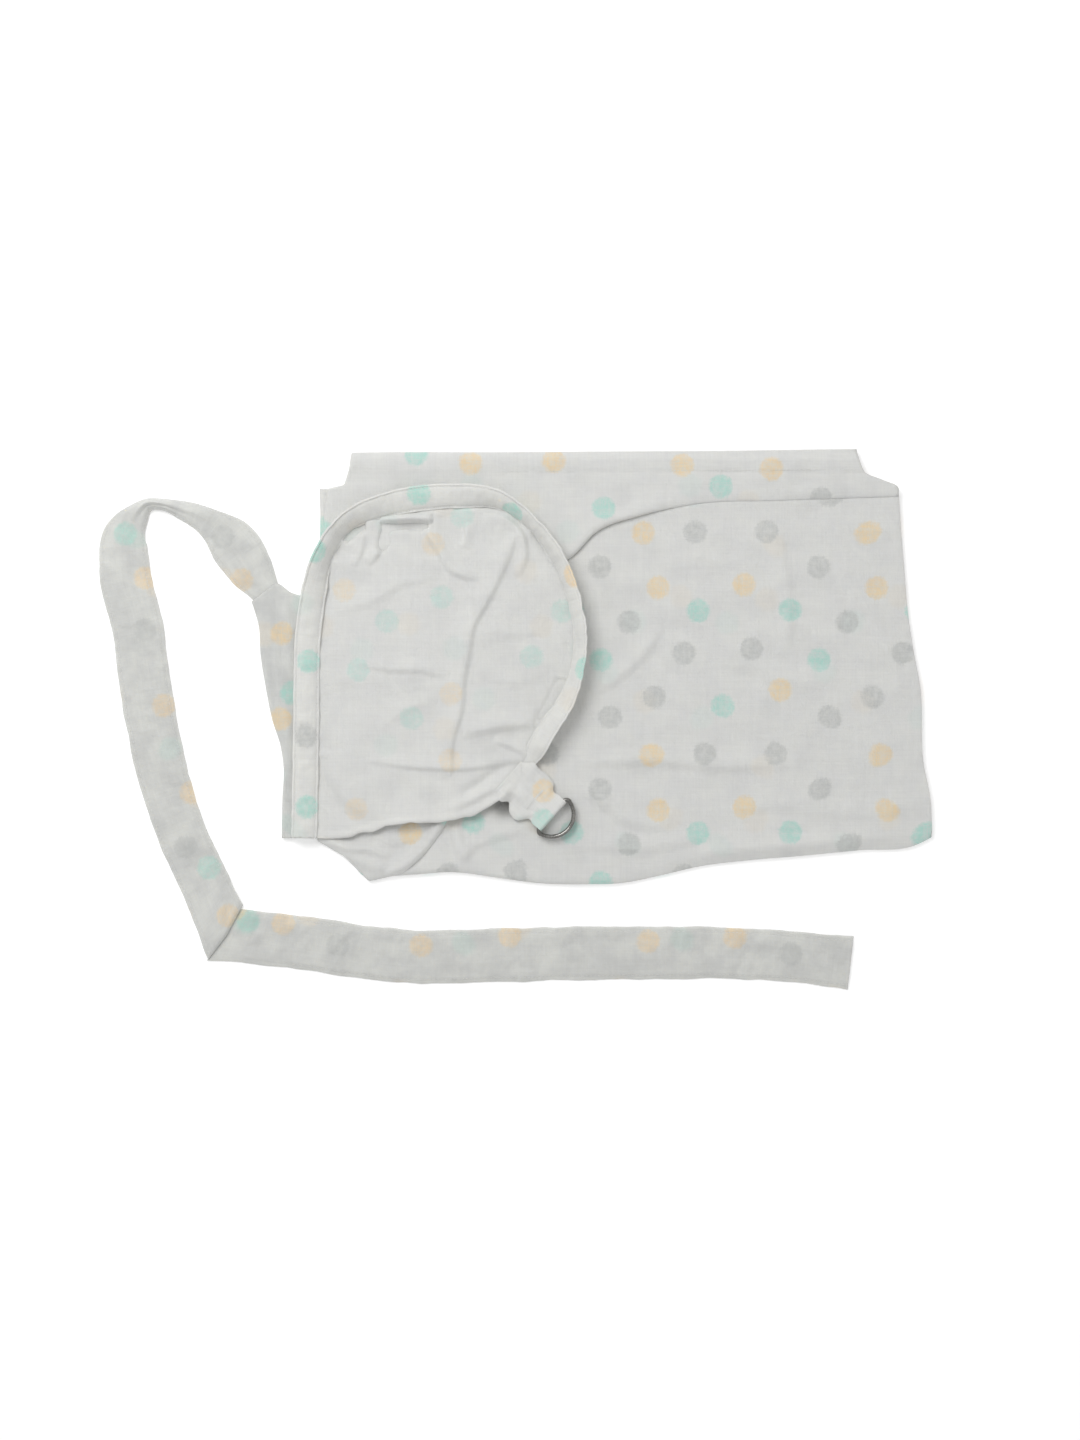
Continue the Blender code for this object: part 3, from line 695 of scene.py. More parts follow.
def hem_fold():
    """The hemmed edge that lies over the stack along the top."""
    sheet = Sheet()
    us = stations(430, 2.4)
    vs = stations(60, 2.0, fine_start=True, fine_end=True)
    left = [(-148, 136), (-146, 160), (-144, 177)]
    right = [(294.6, 171.5), (295, 177.3), (282, 184.4), (268.6, 190.8), (265, 199), (263, 208)]
    x, y = coons(STRIP_LOWER, right, STRIP_UPPER, left, us, vs, (1, 1, 0, 1))
    lower, over = distance_to(x, y, STRIP_LOWER, 120)[0], distance_to(x, y, STRIP_UPPER, 120, False)[0]
    base = PANEL_TOP + broad_relief(x, y)
    at_lip = 1.4 + 2.6 * ease(x, 20, 48) * (1 - ease(x, 80, 160)) - 1.0 * ease(x, 230, 291)
    lift = 2.2 - 0.8 * ease(x, 90, 170) + at_lip * np.exp(-lower / 13)
    top = base + lift + 0.45 * noise(x, y * 1.4, 26, 31) + 0.16 * noise(x, y, 9, 32)
    top = top + 0.45 * wrinkles(x, y, 24, 33, 5) + 0.2 * wrinkles(x, y, 12, 34, 40)
    top = top - 3.0 * ease(y, 199, 207)
    # the hem's own double turn stands proud between its stitch line and the edge
    top = top + 0.6 * ease(y, 190.0, 191.6)
    top = top - crease(x, y, HEM_LINE, 0.5, 1.6)
    top = top + crease(x, y, [(60, 186), (120, 181), (190, 184), (250, 188)], 0.5, 6, 2)
    under = np.minimum(base + 0.95, top - 0.9)
    gap = 1.5 * ease(x, 25, 50) * (1 - ease(x, 85, 150))      # the fold stands off the ply here
    seat = base + 0.75 - 0.4 * ease(x, 90, 150) + gap
    middle = (top + under) / 2
    middle = middle + (seat - middle) * bell(lower, 9)
    under = under + (seat - under) * bell(lower, 5)
    lip = np.clip(lower / (7.5 + 6 * ease(x, 90, 160)), 0, 1)
    roll = (1 - (1 - lip) ** 2) ** (0.55 + 0.35 * ease(x, 80, 150)) * rounded(over, 1.6)
    upper_face, lower_face = middle + (top - middle) * roll, middle + (under - middle) * roll
    dots = dots_on(points_of(x, y, top), STRIP_DOTS)
    sheet.net(x, y, upper_face, dots=dots, ghost=print_at(x + 25, 190 - y))
    sheet.net(x, y, np.minimum(lower_face, upper_face), ghost=print_at(x, y), flip=True)
    return sheet.object("hem_fold", MUSLIN, weld=0.02)


def side_fold():
    """The cloth that shows on the left of the neckline, where the strap is sewn on."""
    sheet = Sheet()
    us = stations(55, 1.8, fine_start=True)
    vs = stations(190, 2.2)
    left = [(-179.6, -91.5), (-179, -60), (-178, -38), (-180.6, -20), (-187, 0), (-191.5, 22), (-196, 50),
            (-197.5, 72), (-203, 91)]
    top = [(-203, 91), (-193, 98.5), (-184, 105), (-173, 98), (-163, 95), (-138, 98)]
    right = [(-134, -88), (-136, 0), (-138, 98)]
    bottom = [(-179.4, -91.5), (-158, -91), (-134, -88)]
    x, y = coons(bottom, right, top, left, us, vs)
    off = distance_to(x, y, left, 80)[0]
    climb = ease(x, -190, -150)
    top_z = 2.8 + 4.6 * climb + 0.5 * noise(x, y * 0.7, 22, 41) + 0.18 * noise(x, y, 9, 42)
    top_z = top_z + 0.5 * wrinkles(x, y, 16, 43, 80) + 0.5 * np.exp(-((x + 192) ** 2 + (y - 98) ** 2) / 150)
    top_z = top_z + creases(x, y, [
        ([(-174, -30), (-178, 20), (-186, 60), (-190, 96)], 1.0, 6, 2.0),
        ([(-170, 40), (-174, 70), (-178, 99)], 1.6, 6, 1.6),
        ([(-186, -10), (-190, 30), (-195, 66)], 0.9, 4, 1.6),
        ([(-176, -84), (-174, -50), (-176, -20)], 0.5, 6, 1.6),
    ])
    under = np.full_like(x, 0.5) + 4.9 * climb
    top_z = np.maximum(top_z, under + 1.0)
    middle = (top_z + under) / 2
    roll = rounded(off, 2.4)
    dots = dots_on(points_of(x, y, top_z), YOKE_DOTS)
    sheet.net(x, y, middle + (top_z - middle) * roll, dots=dots)
    sheet.net(x, y, np.maximum(middle + (under - middle) * roll, 0.45), flip=True)
    return sheet.object("side_fold", STRAP_MUSLIN, weld=0.02)


def corner_fold():
    """The layer folded under the bib at the lower left."""
    sheet = Sheet()
    us = stations(70, 1.8, fine_end=True)
    vs = stations(40, 1.8, fine_start=True)
    bottom = [(-152, -93.5), (-132, -105), (-112.5, -124.5), (-90, -119.5)]
    right = [(-90, -119.5), (-79, -112), (-66, -99), (-50, -74)]
    top = [(-152, -76), (-100, -70), (-50, -74)]
    left = [(-152, -93.5), (-152, -85), (-152, -76)]
    x, y = coons(bottom, right, top, left, us, vs, (0, 1, 1, 1))
    to_fold, to_edge = distance_to(x, y, right, 60)[0], distance_to(x, y, bottom, 60, False)[0]
    top_z = 6.9 + 3.6 * bell(to_fold - 4, 4.5) + 0.5 * noise(x, y, 20, 51) + 0.5 * wrinkles(x, y, 14, 53, -35)
    top_z = top_z + creases(x, y, [
        ([(-146, -93), (-128, -99), (-112, -100), (-96, -106)], 3.4, 4.5, 2.4),
        ([(-134, -104), (-116, -111), (-100, -116)], 2.6, 4.5, 2.6),
        ([(-108, -92), (-90, -94), (-72, -90)], 2.2, 4.5, 2.4),
    ])
    top_z = np.maximum(top_z, 6.7)
    under = np.full_like(x, 6.1)
    middle = (top_z + under) / 2
    roll = rounded(to_fold, 2.6)
    z_top, z_under = middle + (top_z - middle) * roll, middle + (under - middle) * roll
    fall = 1 - rounded(to_edge, 7.0)
    z_top, z_under = z_top - (z_top - 3.2) * fall, z_under - (z_under - 3.0) * fall
    dots = dots_on(points_of(x, y, z_top), CORNER_DOTS)
    sheet.net(x, y, z_top, dots=dots)
    sheet.net(x, y, z_under, flip=True)
    return sheet.object("corner_fold", MUSLIN, weld=0.02)


# ---------------------------------------------------------------- the bib inside the neckline
BIB_LEFT = [(-156, -90.5), (-155.5, -35), (-154.5, 15), (-154, 61), (-150.5, 84), (-149.5, 100)]
BIB_TOP = [
    (-149.5, 100), (-146, 121), (-136, 142), (-124, 152), (-103, 157), (-81, 159), (-63, 162), (-42, 164),
    (-26, 164), (-10, 164), (4, 158), (19, 143), (30, 126),
]
BIB_RIGHT = [
    (16, -35), (18, -14), (26, -1), (35.5, 12.5), (43.5, 31), (48, 50), (48.5, 66), (45, 85), (39, 105),
    (30, 126),
]
BIB_BOTTOM = [
    (-156, -90.5), (-135, -91), (-112, -85.5), (-89, -80), (-63, -78), (-46, -76), (-28, -71), (-18, -65.5),
    (-10, -60.5), (2, -50), (16, -35),
]


# ridge line, rise, width, how much steeper its right-hand side is, fade at the ends
BIB_CREASES = [
    ([(-103, 152.5), (-84, 153.5), (-64, 153)], 5.0, 6.0, 3.4, 0.25),
    ([(-103, 148), (-84, 148.6), (-66, 148)], -5.2, 3.0, 1.0, 0.2),
    ([(-99.5, 150), (-101, 142), (-104, 128)], -4.2, 3.0, 1.0, 0.4),
    ([(-134, 140), (-127, 147), (-117, 152)], 4.0, 5.0, 3.0, 0.3),
    ([(-131, 137), (-124, 145), (-114, 148.5)], -4.4, 3.6, 1.0, 0.3),
    ([(-37, 150), (-38, 142), (-40, 132)], 1.8, 5.0, 3.0),
    ([(-72, 150), (-58, 129), (-48, 114), (-28, 108)], 2.6, 6, 3.6),
    ([(-112, 119), (-105, 128.5), (-99.5, 142), (-99, 151)], 2.6, 6, 3.6),
    ([(-124, 118), (-118, 130), (-116, 146)], 1.6, 5, 2.6),
    ([(-50, -44), (-48, -13), (-42, 6), (-40, 32), (-37, 47), (-32, 73), (-24, 87), (-15, 104), (-5, 126),
      (0, 143)], 2.4, 10, 5.0, 0.35),
    ([(2, 110), (8, 128), (4, 143), (-8, 154), (-24, 157)], 2.0, 4.5, 2.4),
    ([(14, 146), (24, 134), (31, 121)], -2.2, 4),
    ([(36, 32), (28.5, 13), (18, -1)], -2.6, 4.5),
    ([(-122, 44), (-95, 39), (-70, 38), (-50, 33)], 1.5, 8, 3.4),
    ([(-138, 84), (-110, 92), (-84, 106), (-60, 108)], 1.1, 9, 2.4),
    ([(-40, -10), (-15, -5), (15, -2)], 2.8, 7, 1.6),
    ([(-16, -16), (0, -22), (12, -30)], 1.7, 4, 2.4),
    ([(-112, -31), (-75, -36), (-40, -37), (-8, -33), (10, -30)], 2.0, 6, 3.0),
    ([(-42, -60), (-24, -47), (-8, -37), (4, -34)], -2.0, 4),
    ([(-50, -68), (-28, -58), (-8, -47), (4, -40)], 2.0, 5, 1.5),
    ([(-148, -28), (-144, -50), (-134, -68), (-116, -78)], -1.3, 5),
    ([(-140, -24), (-136, -48), (-122, -64), (-100, -68)], 1.2, 8, 1.2),
    ([(-104, -8), (-84, 8), (-60, 14)], 0.9, 8, 2.4),
    ([(-20, 70), (4, 66), (26, 72)], 0.9, 8, 2.4),
    ([(-30, 40), (-8, 30), (20, 34)], 0.8, 9, 2.2),
]


# place along the band, width, rise
BIB_GATHERS = [
    (0.20, 0.030, 3.0), (0.31, 0.034, 3.2), (0.425, 0.036, 3.4), (0.53, 0.036, 2.8), (0.65, 0.045, 3.0),
    (0.78, 0.04, 2.6), (0.88, 0.03, 2.0), (0.10, 0.035, 2.0),
]
BIB_LEVEL, BIB_SEAM_LEVEL, BIB_FLOOR = 9.3, 9.0, 7.9


def bib_height(x, y):
    d_rim = distance_to(x, y, BIB_LEFT[:-1] + BIB_TOP + BIB_RIGHT[-2::-1], 200)[0]
    d_top, along = distance_to(x, y, BIB_TOP, 80)
    z = BIB_LEVEL + 2.0 * ease(d_rim, 4, 42) + 1.1 * noise(x, y * 1.2, 62, 61) + 0.8 * noise(x, y, 30, 62)
    z = z + 0.2 * noise(x, y, 11, 63) + 0.7 * wrinkles(x, y, 26, 65, 20) + 0.42 * wrinkles(x, y, 15, 66, -50)
    z = z + 0.12 * wrinkles(x, y, 8, 67, 10, 1.8)
    # gathers held in the seam under the top of the band
    for centre, wide, rise in BIB_GATHERS:
        z = z + rise * bell(along - centre, wide) * np.exp(-(d_top / 18) ** 1.5)
    z = z + 1.5 * creases(x, y, BIB_CREASES)
    # towards the tab the cloth is drawn down to the seam
    d_tab = np.hypot(x - 4, y + 47)
    z = z - (z - 9.6) * bell(d_tab, 17)
    # held flat under the band
    hold = bell(d_rim, 2.6)
    z = z - (z - BIB_SEAM_LEVEL) * hold
    # the lower hem stands clear of the cloth under it
    lower, t = distance_to(x, y, BIB_BOTTOM, 80)
    bow = np.clip(np.sin(math.pi * np.clip((t - 0.10) / 0.72, 0, 1)), 0, 1)
    bow = bow * (1 + 0.75 * noise(x, 0 * y, 26, 68)) + 0.3 * noise(x, 0 * y, 12, 69) * bow
    arch = 7.0 * bell(t - 0.82, 0.045) * np.exp(-lower / 9)     # it stands open beside the tab
    z = z + arch + 3.8 * bow * np.exp(-lower / 14) + 0.7 * bell(lower - 2.2, 2.4) * ease(t, 0.02, 0.1)
    return np.maximum(z, BIB_FLOOR)


def bib():
    sheet = Sheet()
    us, vs = stations(200, 1.3), stations(230, 1.3, fine_start=True)
    x, y = coons(BIB_BOTTOM, BIB_RIGHT, BIB_TOP, BIB_LEFT, us, vs)
    low = np.exp(-vs[:, None] * 14) * ease(us, 0.08, 0.2)[None] * (1 - ease(us, 0.74, 0.86))[None]
    y = y + low * (1.9 * noise(x, 0 * y, 20, 58) + 1.0 * noise(x, 0 * y, 9, 59))
    z = bib_height(x, y)
    lip = (ease(us, 0.03, 0.1) * (1 - ease(us, 0.84, 0.9)))[None]
    z = z - 1.3 * lip * (1 - rounded(vs[:, None] * 90, 1))
    dots = dots_on(points_of(x, y, z), BIB_DOTS)
    sheet.net(x, y, z, dots=dots, ghost=print_at(x + 90, y + 30), faint=0.48)
    return sheet.object("bib", MUSLIN)


# ---------------------------------------------------------------- the neckline's casing
def level_across(rows):
    """The level direction square to a line, on the left of its travel."""
    heading = np.gradient(rows[:, :2], axis=0)
    heading /= np.linalg.norm(heading, axis=1, keepdims=True)
    return np.stack([-heading[:, 1], heading[:, 0]], 1)


CASING_WIDTH, CASING_THICK = 20.0, 5.0
CASING_STITCHED = 8.0                   # how far the topstitching stands from the middle
CASING_ROUND = 60                       # points round its section


def casing_section():
    """Across the band: place, upper or under face, and half thickness, with grooves at the topstitching."""
    turn = np.linspace(0, 2 * math.pi, CASING_ROUND, endpoint=False)
    a = np.sign(np.cos(turn)) * np.abs(np.cos(turn)) ** 0.75 * CASING_WIDTH / 2
    swell = 0.45 + 2.05 * np.clip(1 - (a / 7.9) ** 2, 0, 1) ** 0.62 + 0.5 * bell(np.abs(a) - 9.1, 0.6)
    tip = np.clip(1 - ((np.abs(a) - 9.0) / 1.0) ** 2, 0, 1)
    return a, np.sign(np.sin(turn)), np.where(np.abs(a) > 9.0, swell * np.sqrt(tip), swell)


def casing():
    route = CASING_ROUTE + [(7.0, -38.5, 20)]
    total = length_of(path(route, np.linspace(0, 1, 300))[:, :2])
    at = np.linspace(0, 1, int(total / 1.5))
    rows = path(route, at)
    s = at * total
    end = ease(s, total - 26, total - 4)          # the end lies flat, under the tab
    x, y, lean = rows[:, 0], rows[:, 1], np.radians(rows[:, 2]) * (1 - 0.85 * end)
    out = level_across(rows)
    rise = (CASING_WIDTH * np.sin(lean) + CASING_THICK * np.cos(lean)) / 2
    centre = np.stack([x, y, HEM_Z + rise * (1 - 0.55 * end)], 1)
    across = np.stack([out[:, 0] * np.cos(lean), out[:, 1] * np.cos(lean), np.sin(lean)], 1)
    up = np.stack([-out[:, 0] * np.sin(lean), -out[:, 1] * np.sin(lean), np.cos(lean)], 1)

    a, face, half = casing_section()
    a2, s2 = np.meshgrid(a, s)
    f2, h2 = np.meshgrid(face, s)[0], np.meshgrid(half, s)[0]
    flatter = end[:, None]
    pucker = noise(s2, a2 * 0.35 + f2 * 40, 8.5, 71) * 1.2 + noise(s2, a2 * 0.5 + f2 * 40, 4.5, 72) * 0.7
    inner = np.clip(1 - (a2 / 8.8) ** 2, 0, 1)
    b = np.maximum(f2 * h2 * (1 + 0.30 * pucker * inner) * (1 - 0.7 * flatter), -2.4)
    side = np.sign(a2)
    ruffle = noise(s2, 0 * a2 + side * 55, 9.0, 73) * 0.9 + noise(s2, side * 55 + 0 * a2, 4.5, 74) * 0.45
    b = b + ruffle * ease(np.abs(a2), 6.5, 9.8)
    a3 = a2 * (1 + 0.035 * noise(s2, side * 23, 16, 75)) * (1 - 0.5 * flatter)
    co = centre[:, None] + across[:, None] * a3[..., None] + up[:, None] * b[..., None]

    sheet = Sheet()
    sheet.net(*axes_of(co), u=s2, v=a2 * 1.15 + f2 * 3.0 + 400,
              dots=dots_on(co.reshape(-1, 3), CASING_DOTS), around=True)
    for row, flip in ((0, True), (-1, False)):
        tip_row = np.repeat(co[row].mean(0)[None, None], CASING_ROUND, 1)
        pair = np.concatenate([co[row][None], co[row][None] * 0.5 + tip_row * 0.5, tip_row])
        sheet.net(*axes_of(pair), u=pair[..., 0], v=pair[..., 1] + 400,
                  flip=flip, around=True)
    made = sheet.object("neckline_band", MUSLIN, weld=0.01, solid=0)
    # topstitching along both edges of the channel, on the upper face
    lines = []
    for edge in (-CASING_STITCHED, CASING_STITCHED):
        k = int(np.argmin(np.abs(a - edge) + 5 * (face < 0)))
        line = co[:, k] + up * 0.12
        lines.append(stitches_along(line[2:-3]))
    return made, thread_object("neckline_stitches", np.concatenate(lines), 0.2, THREAD)


# ---------------------------------------------------------------- the neck strap
def run_of(table):
    """Rows along one straight-cut run of the strap, close together at its far end."""
    total = length_of(path(table, np.linspace(0, 1, 300))[:, :2])
    return path(table, stations(total, 1.5, fine_end=True))


STRAP_ACROSS = np.sin(np.linspace(-math.pi / 2, math.pi / 2, 38))      # places across it, from edge to edge
STRAP_STITCHED = 7                      # the place from each edge where the topstitching runs


def strap_faces(t, w, s, share, bulk):
    """Heights of the tube's two faces: its crown, crumples and seams, and the pleats where it bunches."""
    height = (np.clip(bulk, 1, 5) - 1) * STRAP_THICK
    arch = 1 - np.abs(t + 0.18 * noise(s, 0 * s, 24, 81)) ** 1.3
    bunch = ease(0.9 - share, 0.0, 0.5)
    lift = height * np.clip(arch, 0, 1) * bunch * (1 - 0.30 * bell(t - 0.25, 0.22))
    relief = 0.9 * noise(s, w * 1.2, 30, 85) + 0.35 * noise(s, w, 11, 86)
    relief = relief + 1.0 * wrinkles(s, w, 20, 88, 0, 3.2) + 0.8 * wrinkles(s, w, 13, 87, 62, 2.0)
    relief = relief + 0.2 * wrinkles(s, w, 7, 80, -35, 1.6)
    seam = bell(np.abs(t) - 0.86, 0.05) * 0.4
    crown = STRAP_THICK * (0.45 + 0.55 * (1 - t ** 6) ** 0.5)
    upper = crown + (relief + 0.5) * (1 - np.abs(t) ** 8) - seam + lift + 0.25
    under = 0.35 + lift * 0.8 + 0.3 * np.clip(noise(s, w, 30, 89), 0, 1)
    return np.maximum(upper, under + 0.5), under


def hanging_ends(upper, under, w, gone, left):
    """Tucked under the side fold at its root, and cut at a slant over the turn at its foot."""
    root, drop = 1 - ease(gone, 2, 13), 1 - ease(left, 12, 46)
    upper, under = upper + root * (1.7 - upper), under + root * (0.9 - under)
    skew = -np.where(w > 0, 0.80, 0.55) * w * (1 - ease(left, 0, 60))
    return upper + 4.2 * drop, under + 2.2 * drop, skew, rounded(left, 5.0), 1 - ease(left, 0, 6)


def lower_ends(upper, under, w, gone, left):
    """Its near end lies under the turn, and its far end is square, with a row of stitches across it."""
    skew = (0.36 * w - 6.5) * (1 - ease(gone, 0, 50))
    upper = upper - (upper - 2.1) * (1 - ease(gone, 4, 26)) * 0.8
    return upper + 0.5 * bell(left - 9.5, 2.0), under, skew, rounded(left, 1.6), 0


def strap():
    """Two tubes of cloth: the hanging run, from under the side fold, laid over the start of the lower run."""
    sheet = Sheet()
    stitch_lines = []
    offset = 0.0
    for table, ends, unstitched, own_dots in (
            ([(-187.2, 91.0, 0.5, 0.6)] + STRAP_HANGING_RUN, hanging_ends, 10,
             [dot for dot in STRAP_DOTS if dot[0] <= -210 or dot[1] > 0]),
            (STRAP_LOWER_RUN, lower_ends, 34, [dot for dot in STRAP_DOTS if dot[0] > -210 or dot[1] > 0])):
        rows = run_of(table)
        out = level_across(rows)
        way = np.stack([out[:, 1], -out[:, 0]], 1)
        s = np.concatenate([[0], np.cumsum(np.linalg.norm(np.diff(rows[:, :2], axis=0), axis=1))])
        share, bulk = rows[:, 2][:, None], rows[:, 3][:, None]
        gone, t2 = np.meshgrid(s, STRAP_ACROSS, indexing="ij")
        s2 = gone + offset
        offset += s[-1]
        sway = noise(s2, 0 * t2, 55, 82) * 0.8 + noise(s2, t2 * 2, 23, 83) * 0.35
        edge = np.sign(t2) * 31
        edge_wave = 1 + 0.04 * noise(s2, edge, 21, 84) + 0.015 * noise(s2, edge, 8, 90)
        w = STRAP_WIDTH / 2 * np.minimum(share, 1.03) * t2 * edge_wave
        upper, under = strap_faces(t2, w, s2, share, bulk)
        upper, under, skew, tip, settle = ends(upper, under, w, gone, s[-1] - gone)
        middle = (upper + under) / 2
        middle = middle + (1.9 - middle) * settle
        rim = np.sqrt(np.clip(1 - np.abs(t2) ** 10, 0, 1))
        z_upper, z_under = middle + (upper - middle) * rim * tip, middle + (under - middle) * rim * tip
        place = rows[:, :2][:, None] + out[:, None] * (w + sway * 0.6)[..., None]
        x, y = axes_of(place + way[:, None] * skew[..., None])
        both = np.concatenate([np.stack([x, y, z_upper], -1), np.stack([x, y, z_under], -1)[:, ::-1]], 1)
        u = np.concatenate([s2, s2], 1)
        v = np.concatenate([w, -w[:, ::-1] + 60], 1)
        sheet.net(*axes_of(both), u=u, v=v + 900, dots=dots_on(both.reshape(-1, 3), own_dots),
                  ghost=print_at(u, v), around=True, faint=0.26)
        for row in (0, -1):
            fan = np.stack([both[row], both[row] * 0.4 + both[row].mean(0) * 0.6])
            sheet.net(*axes_of(fan), u=u[[0, 0]], v=v[[0, 0]] + 900, flip=row == 0, around=True)
        for k in (STRAP_STITCHED, len(STRAP_ACROSS) - 1 - STRAP_STITCHED):
            line = np.stack([x[:, k], y[:, k], z_upper[:, k] + 0.1], 1)
            stitch_lines.append(stitches_along(line[unstitched:-3], 3.2, 2.2))
    made = sheet.object("neck_strap_cloth", STRAP_MUSLIN, weld=0.01, solid=0)
    return made, thread_object("strap_stitches", np.concatenate(stitch_lines), 0.18, THREAD)


# ---------------------------------------------------------------- tab and rings
def tab_place(d, a, z):
    """From the tab's own frame (along, across, height from its seam) to the part's."""
    c, s = math.cos(TAB_TURN), math.sin(TAB_TURN)
    return np.stack([TAB_SEAM[0] + d * c - a * s, TAB_SEAM[1] + d * s + a * c, TAB_SEAM[2] + z], -1)


def tab_half(d):
    narrow = (TAB_ROOT + (TAB_LOOP + 3.4 - TAB_ROOT) * ease(d, TAB_LENGTH * 0.25, TAB_LENGTH * 0.92)) / 2
    return narrow - 5.5 * ease(-d, 0, 9)


def ring_tab():
    """The tab's cloth, from its seam round both bars and back over the bib's hem, and its top points."""
    bar_low, bar_high = RING_LOW - TAB_SEAM[2], RING_HIGH - TAB_SEAM[2]
    room = RING_WIRE / 2 + 0.55
    outline = [(0.0, -1.2), (10, -1.4), (22, -1.35)]
    for bar, turns in ((bar_low, (-90, -60, -30, 0)), (bar_high, (0, 30, 60, 90, 120))):
        for degrees in turns:
            turn = math.radians(degrees)
            outline.append((TAB_LENGTH + room * math.cos(turn), bar + room * math.sin(turn)))
    outline += [(TAB_LENGTH - 6.5, 4.6), (TAB_LENGTH - 12, 2.8), (16, 1.9), (8, 1.7), (1.0, 1.6), (-5, 1.1),
                (-10.0, 0.35)]
    line = path(outline, np.linspace(0, 1, 110))
    steps = np.concatenate([[0], np.cumsum(np.linalg.norm(np.diff(line, axis=0), axis=1))])
    a = np.sin(np.linspace(-1.35, 1.35, 40)) / math.sin(1.35)
    d2, a2 = np.meshgrid(line[:, 0], a, indexing="ij")
    z2, s2 = (np.meshgrid(values, a, indexing="ij")[0] for values in (line[:, 1], steps))
    upper = ease(s2, steps[-1] * 0.46, steps[-1] * 0.56)
    edge = 1 + 0.06 * noise(s2, np.sign(a2) * 20, 12, 93) * (1 - ease(d2, 20, 30))
    drawn_in = np.where(a2 < 0, 0.30, 0.05) * bell(d2 - 3.5, 4.5)       # the hollow beside the bib's hem
    bulge = np.where(a2 < 0, 0.15, 0.02) * bell(d2 - 16.5, 5.5)
    half = tab_half(d2) * edge * (1 - drawn_in + bulge)
    clear_of_rings = 13.7 + 1.2 * ease(d2, 25, 30) + 9 * (1 - ease(d2, 15, 25))
    half = np.minimum(half, clear_of_rings)
    across = half * a2
    wave = 0.8 * noise(s2 * 0.4, across, 8, 91) + 0.3 * noise(s2, across, 5, 92)
    wave = wave + 0.9 * wrinkles(s2, across, 9, 94, 0, 3)
    gather = np.abs(np.cos(a2 * 4.6 + 0.5)) * 1.3 * ease(d2, 6, 28)
    gather = gather + 0.9 * np.cos(a2 * 7 + 1) * (1 - ease(d2, 4, 20))
    loop = 1 - ease(d2, TAB_LENGTH - 12, TAB_LENGTH - 2)
    crown = 1.3 * (1 - a2 ** 2) * ease(d2, -2, 10)
    folds = (wave + gather) * loop * (1 - 0.75 * a2 ** 4)
    z2 = z2 + upper * (folds + crown * (0.4 + 0.6 * loop)) * ease(d2, -9, 4)
    z2 = z2 - upper * 2.2 * np.abs(a2) ** 5 * loop * ease(d2, -2, 6)       # sewn together at the edges
    z2 = z2 + upper * 1.5 * np.exp(-((d2 + 3) ** 2 + (across - 12) ** 2) / 70)
    co = tab_place(d2, across, z2)
    # at its root the upper ply lies on the bib
    flush = upper * (1 - ease(d2, -5, 6)) * (co[..., 0] < 6)
    on_bib = np.maximum(bib_height(co[..., 0], co[..., 1]), 10.6) + PLY
    co[..., 2] += flush * (on_bib - co[..., 2])
    sheet = Sheet()
    sheet.net(*axes_of(co), u=s2, v=across + 1500,
              dots=dots_on(co.reshape(-1, 3), TAB_DOTS), flip=True, faint=0.15)
    return sheet.object("ring_tab_cloth", MUSLIN, solid=1.0), co[upper > 0.99]


TACK_WIDTH, TACK_PITCH, TACK_THREAD = 2.0, 0.42, 0.22
LOOP_TACK_AT, SEAM_TACK_AT = 17.2, -2.9      # along the tab, from its seam


def zigzag(start, end, width_way, height=0.0):
    """End points of a bar tack's dense zigzag between two points."""
    start, end, way = np.array(start, float), np.array(end, float), np.array(width_way, float)
    count = max(3, int(np.linalg.norm(end - start) / TACK_PITCH))
    knots = [start + (end - start) * i / count + way * TACK_WIDTH * (0.5 if i % 2 else -0.5)
             for i in range(count + 1)]
    knots = np.array(knots) + np.array([0, 0, height])
    return np.stack([knots[:-1], knots[1:]], 1)


def ring(name, bar_height):
    """A D of round wire: a straight bar, two corners and a bow."""
    route = [(0.0, y) for y in np.linspace(RING_RADIUS - RING_CORNER, -(RING_RADIUS - RING_CORNER), 16)]
    corner_y = RING_RADIUS - RING_CORNER
    for cx, cy, size, degrees in ((RING_CORNER, -corner_y, RING_CORNER, np.arange(195, 271, 15)),
                                  (0.0, 0.0, RING_RADIUS, np.linspace(-76, 76, 60)),
                                  (RING_CORNER, corner_y, RING_CORNER, np.arange(90, 166, 15))):
        route += [(cx + size * math.cos(turn), cy + size * math.sin(turn)) for turn in np.radians(degrees)]
    route = np.array(route)
    after, before = np.roll(route, -1, 0), np.roll(route, 1, 0)
    way = (after - before) / np.linalg.norm(after - before, axis=1, keepdims=True)
    out = np.stack([way[:, 1], -way[:, 0]], 1)
    turn = np.linspace(0, 2 * math.pi, 20, endpoint=False)
    radius = RING_WIRE / 2
    flat = route[:, None] + out[:, None] * (radius * np.cos(turn))[None, :, None]
    height = np.broadcast_to(radius * np.sin(turn), flat.shape[:2])
    co = tab_place(TAB_LENGTH + flat[..., 0], flat[..., 1], bar_height - TAB_SEAM[2] + height)
    n, m = co.shape[:2]
    faces = [(i * m + j, i * m + (j + 1) % m, ((i + 1) % n) * m + (j + 1) % m, ((i + 1) % n) * m + j)
             for i in range(n) for j in range(m)]
    return plain_object(name, co.reshape(-1, 3), faces, NICKEL)


# ---------------------------------------------------------------- put together
panel = folded_panel()
hem = hem_fold()
side = side_fold()
corner = corner_fold()
flap = bib()
band, band_stitches = casing()
strap_cloth, strap_stitches = strap()
tab_cloth, tab_top = ring_tab()

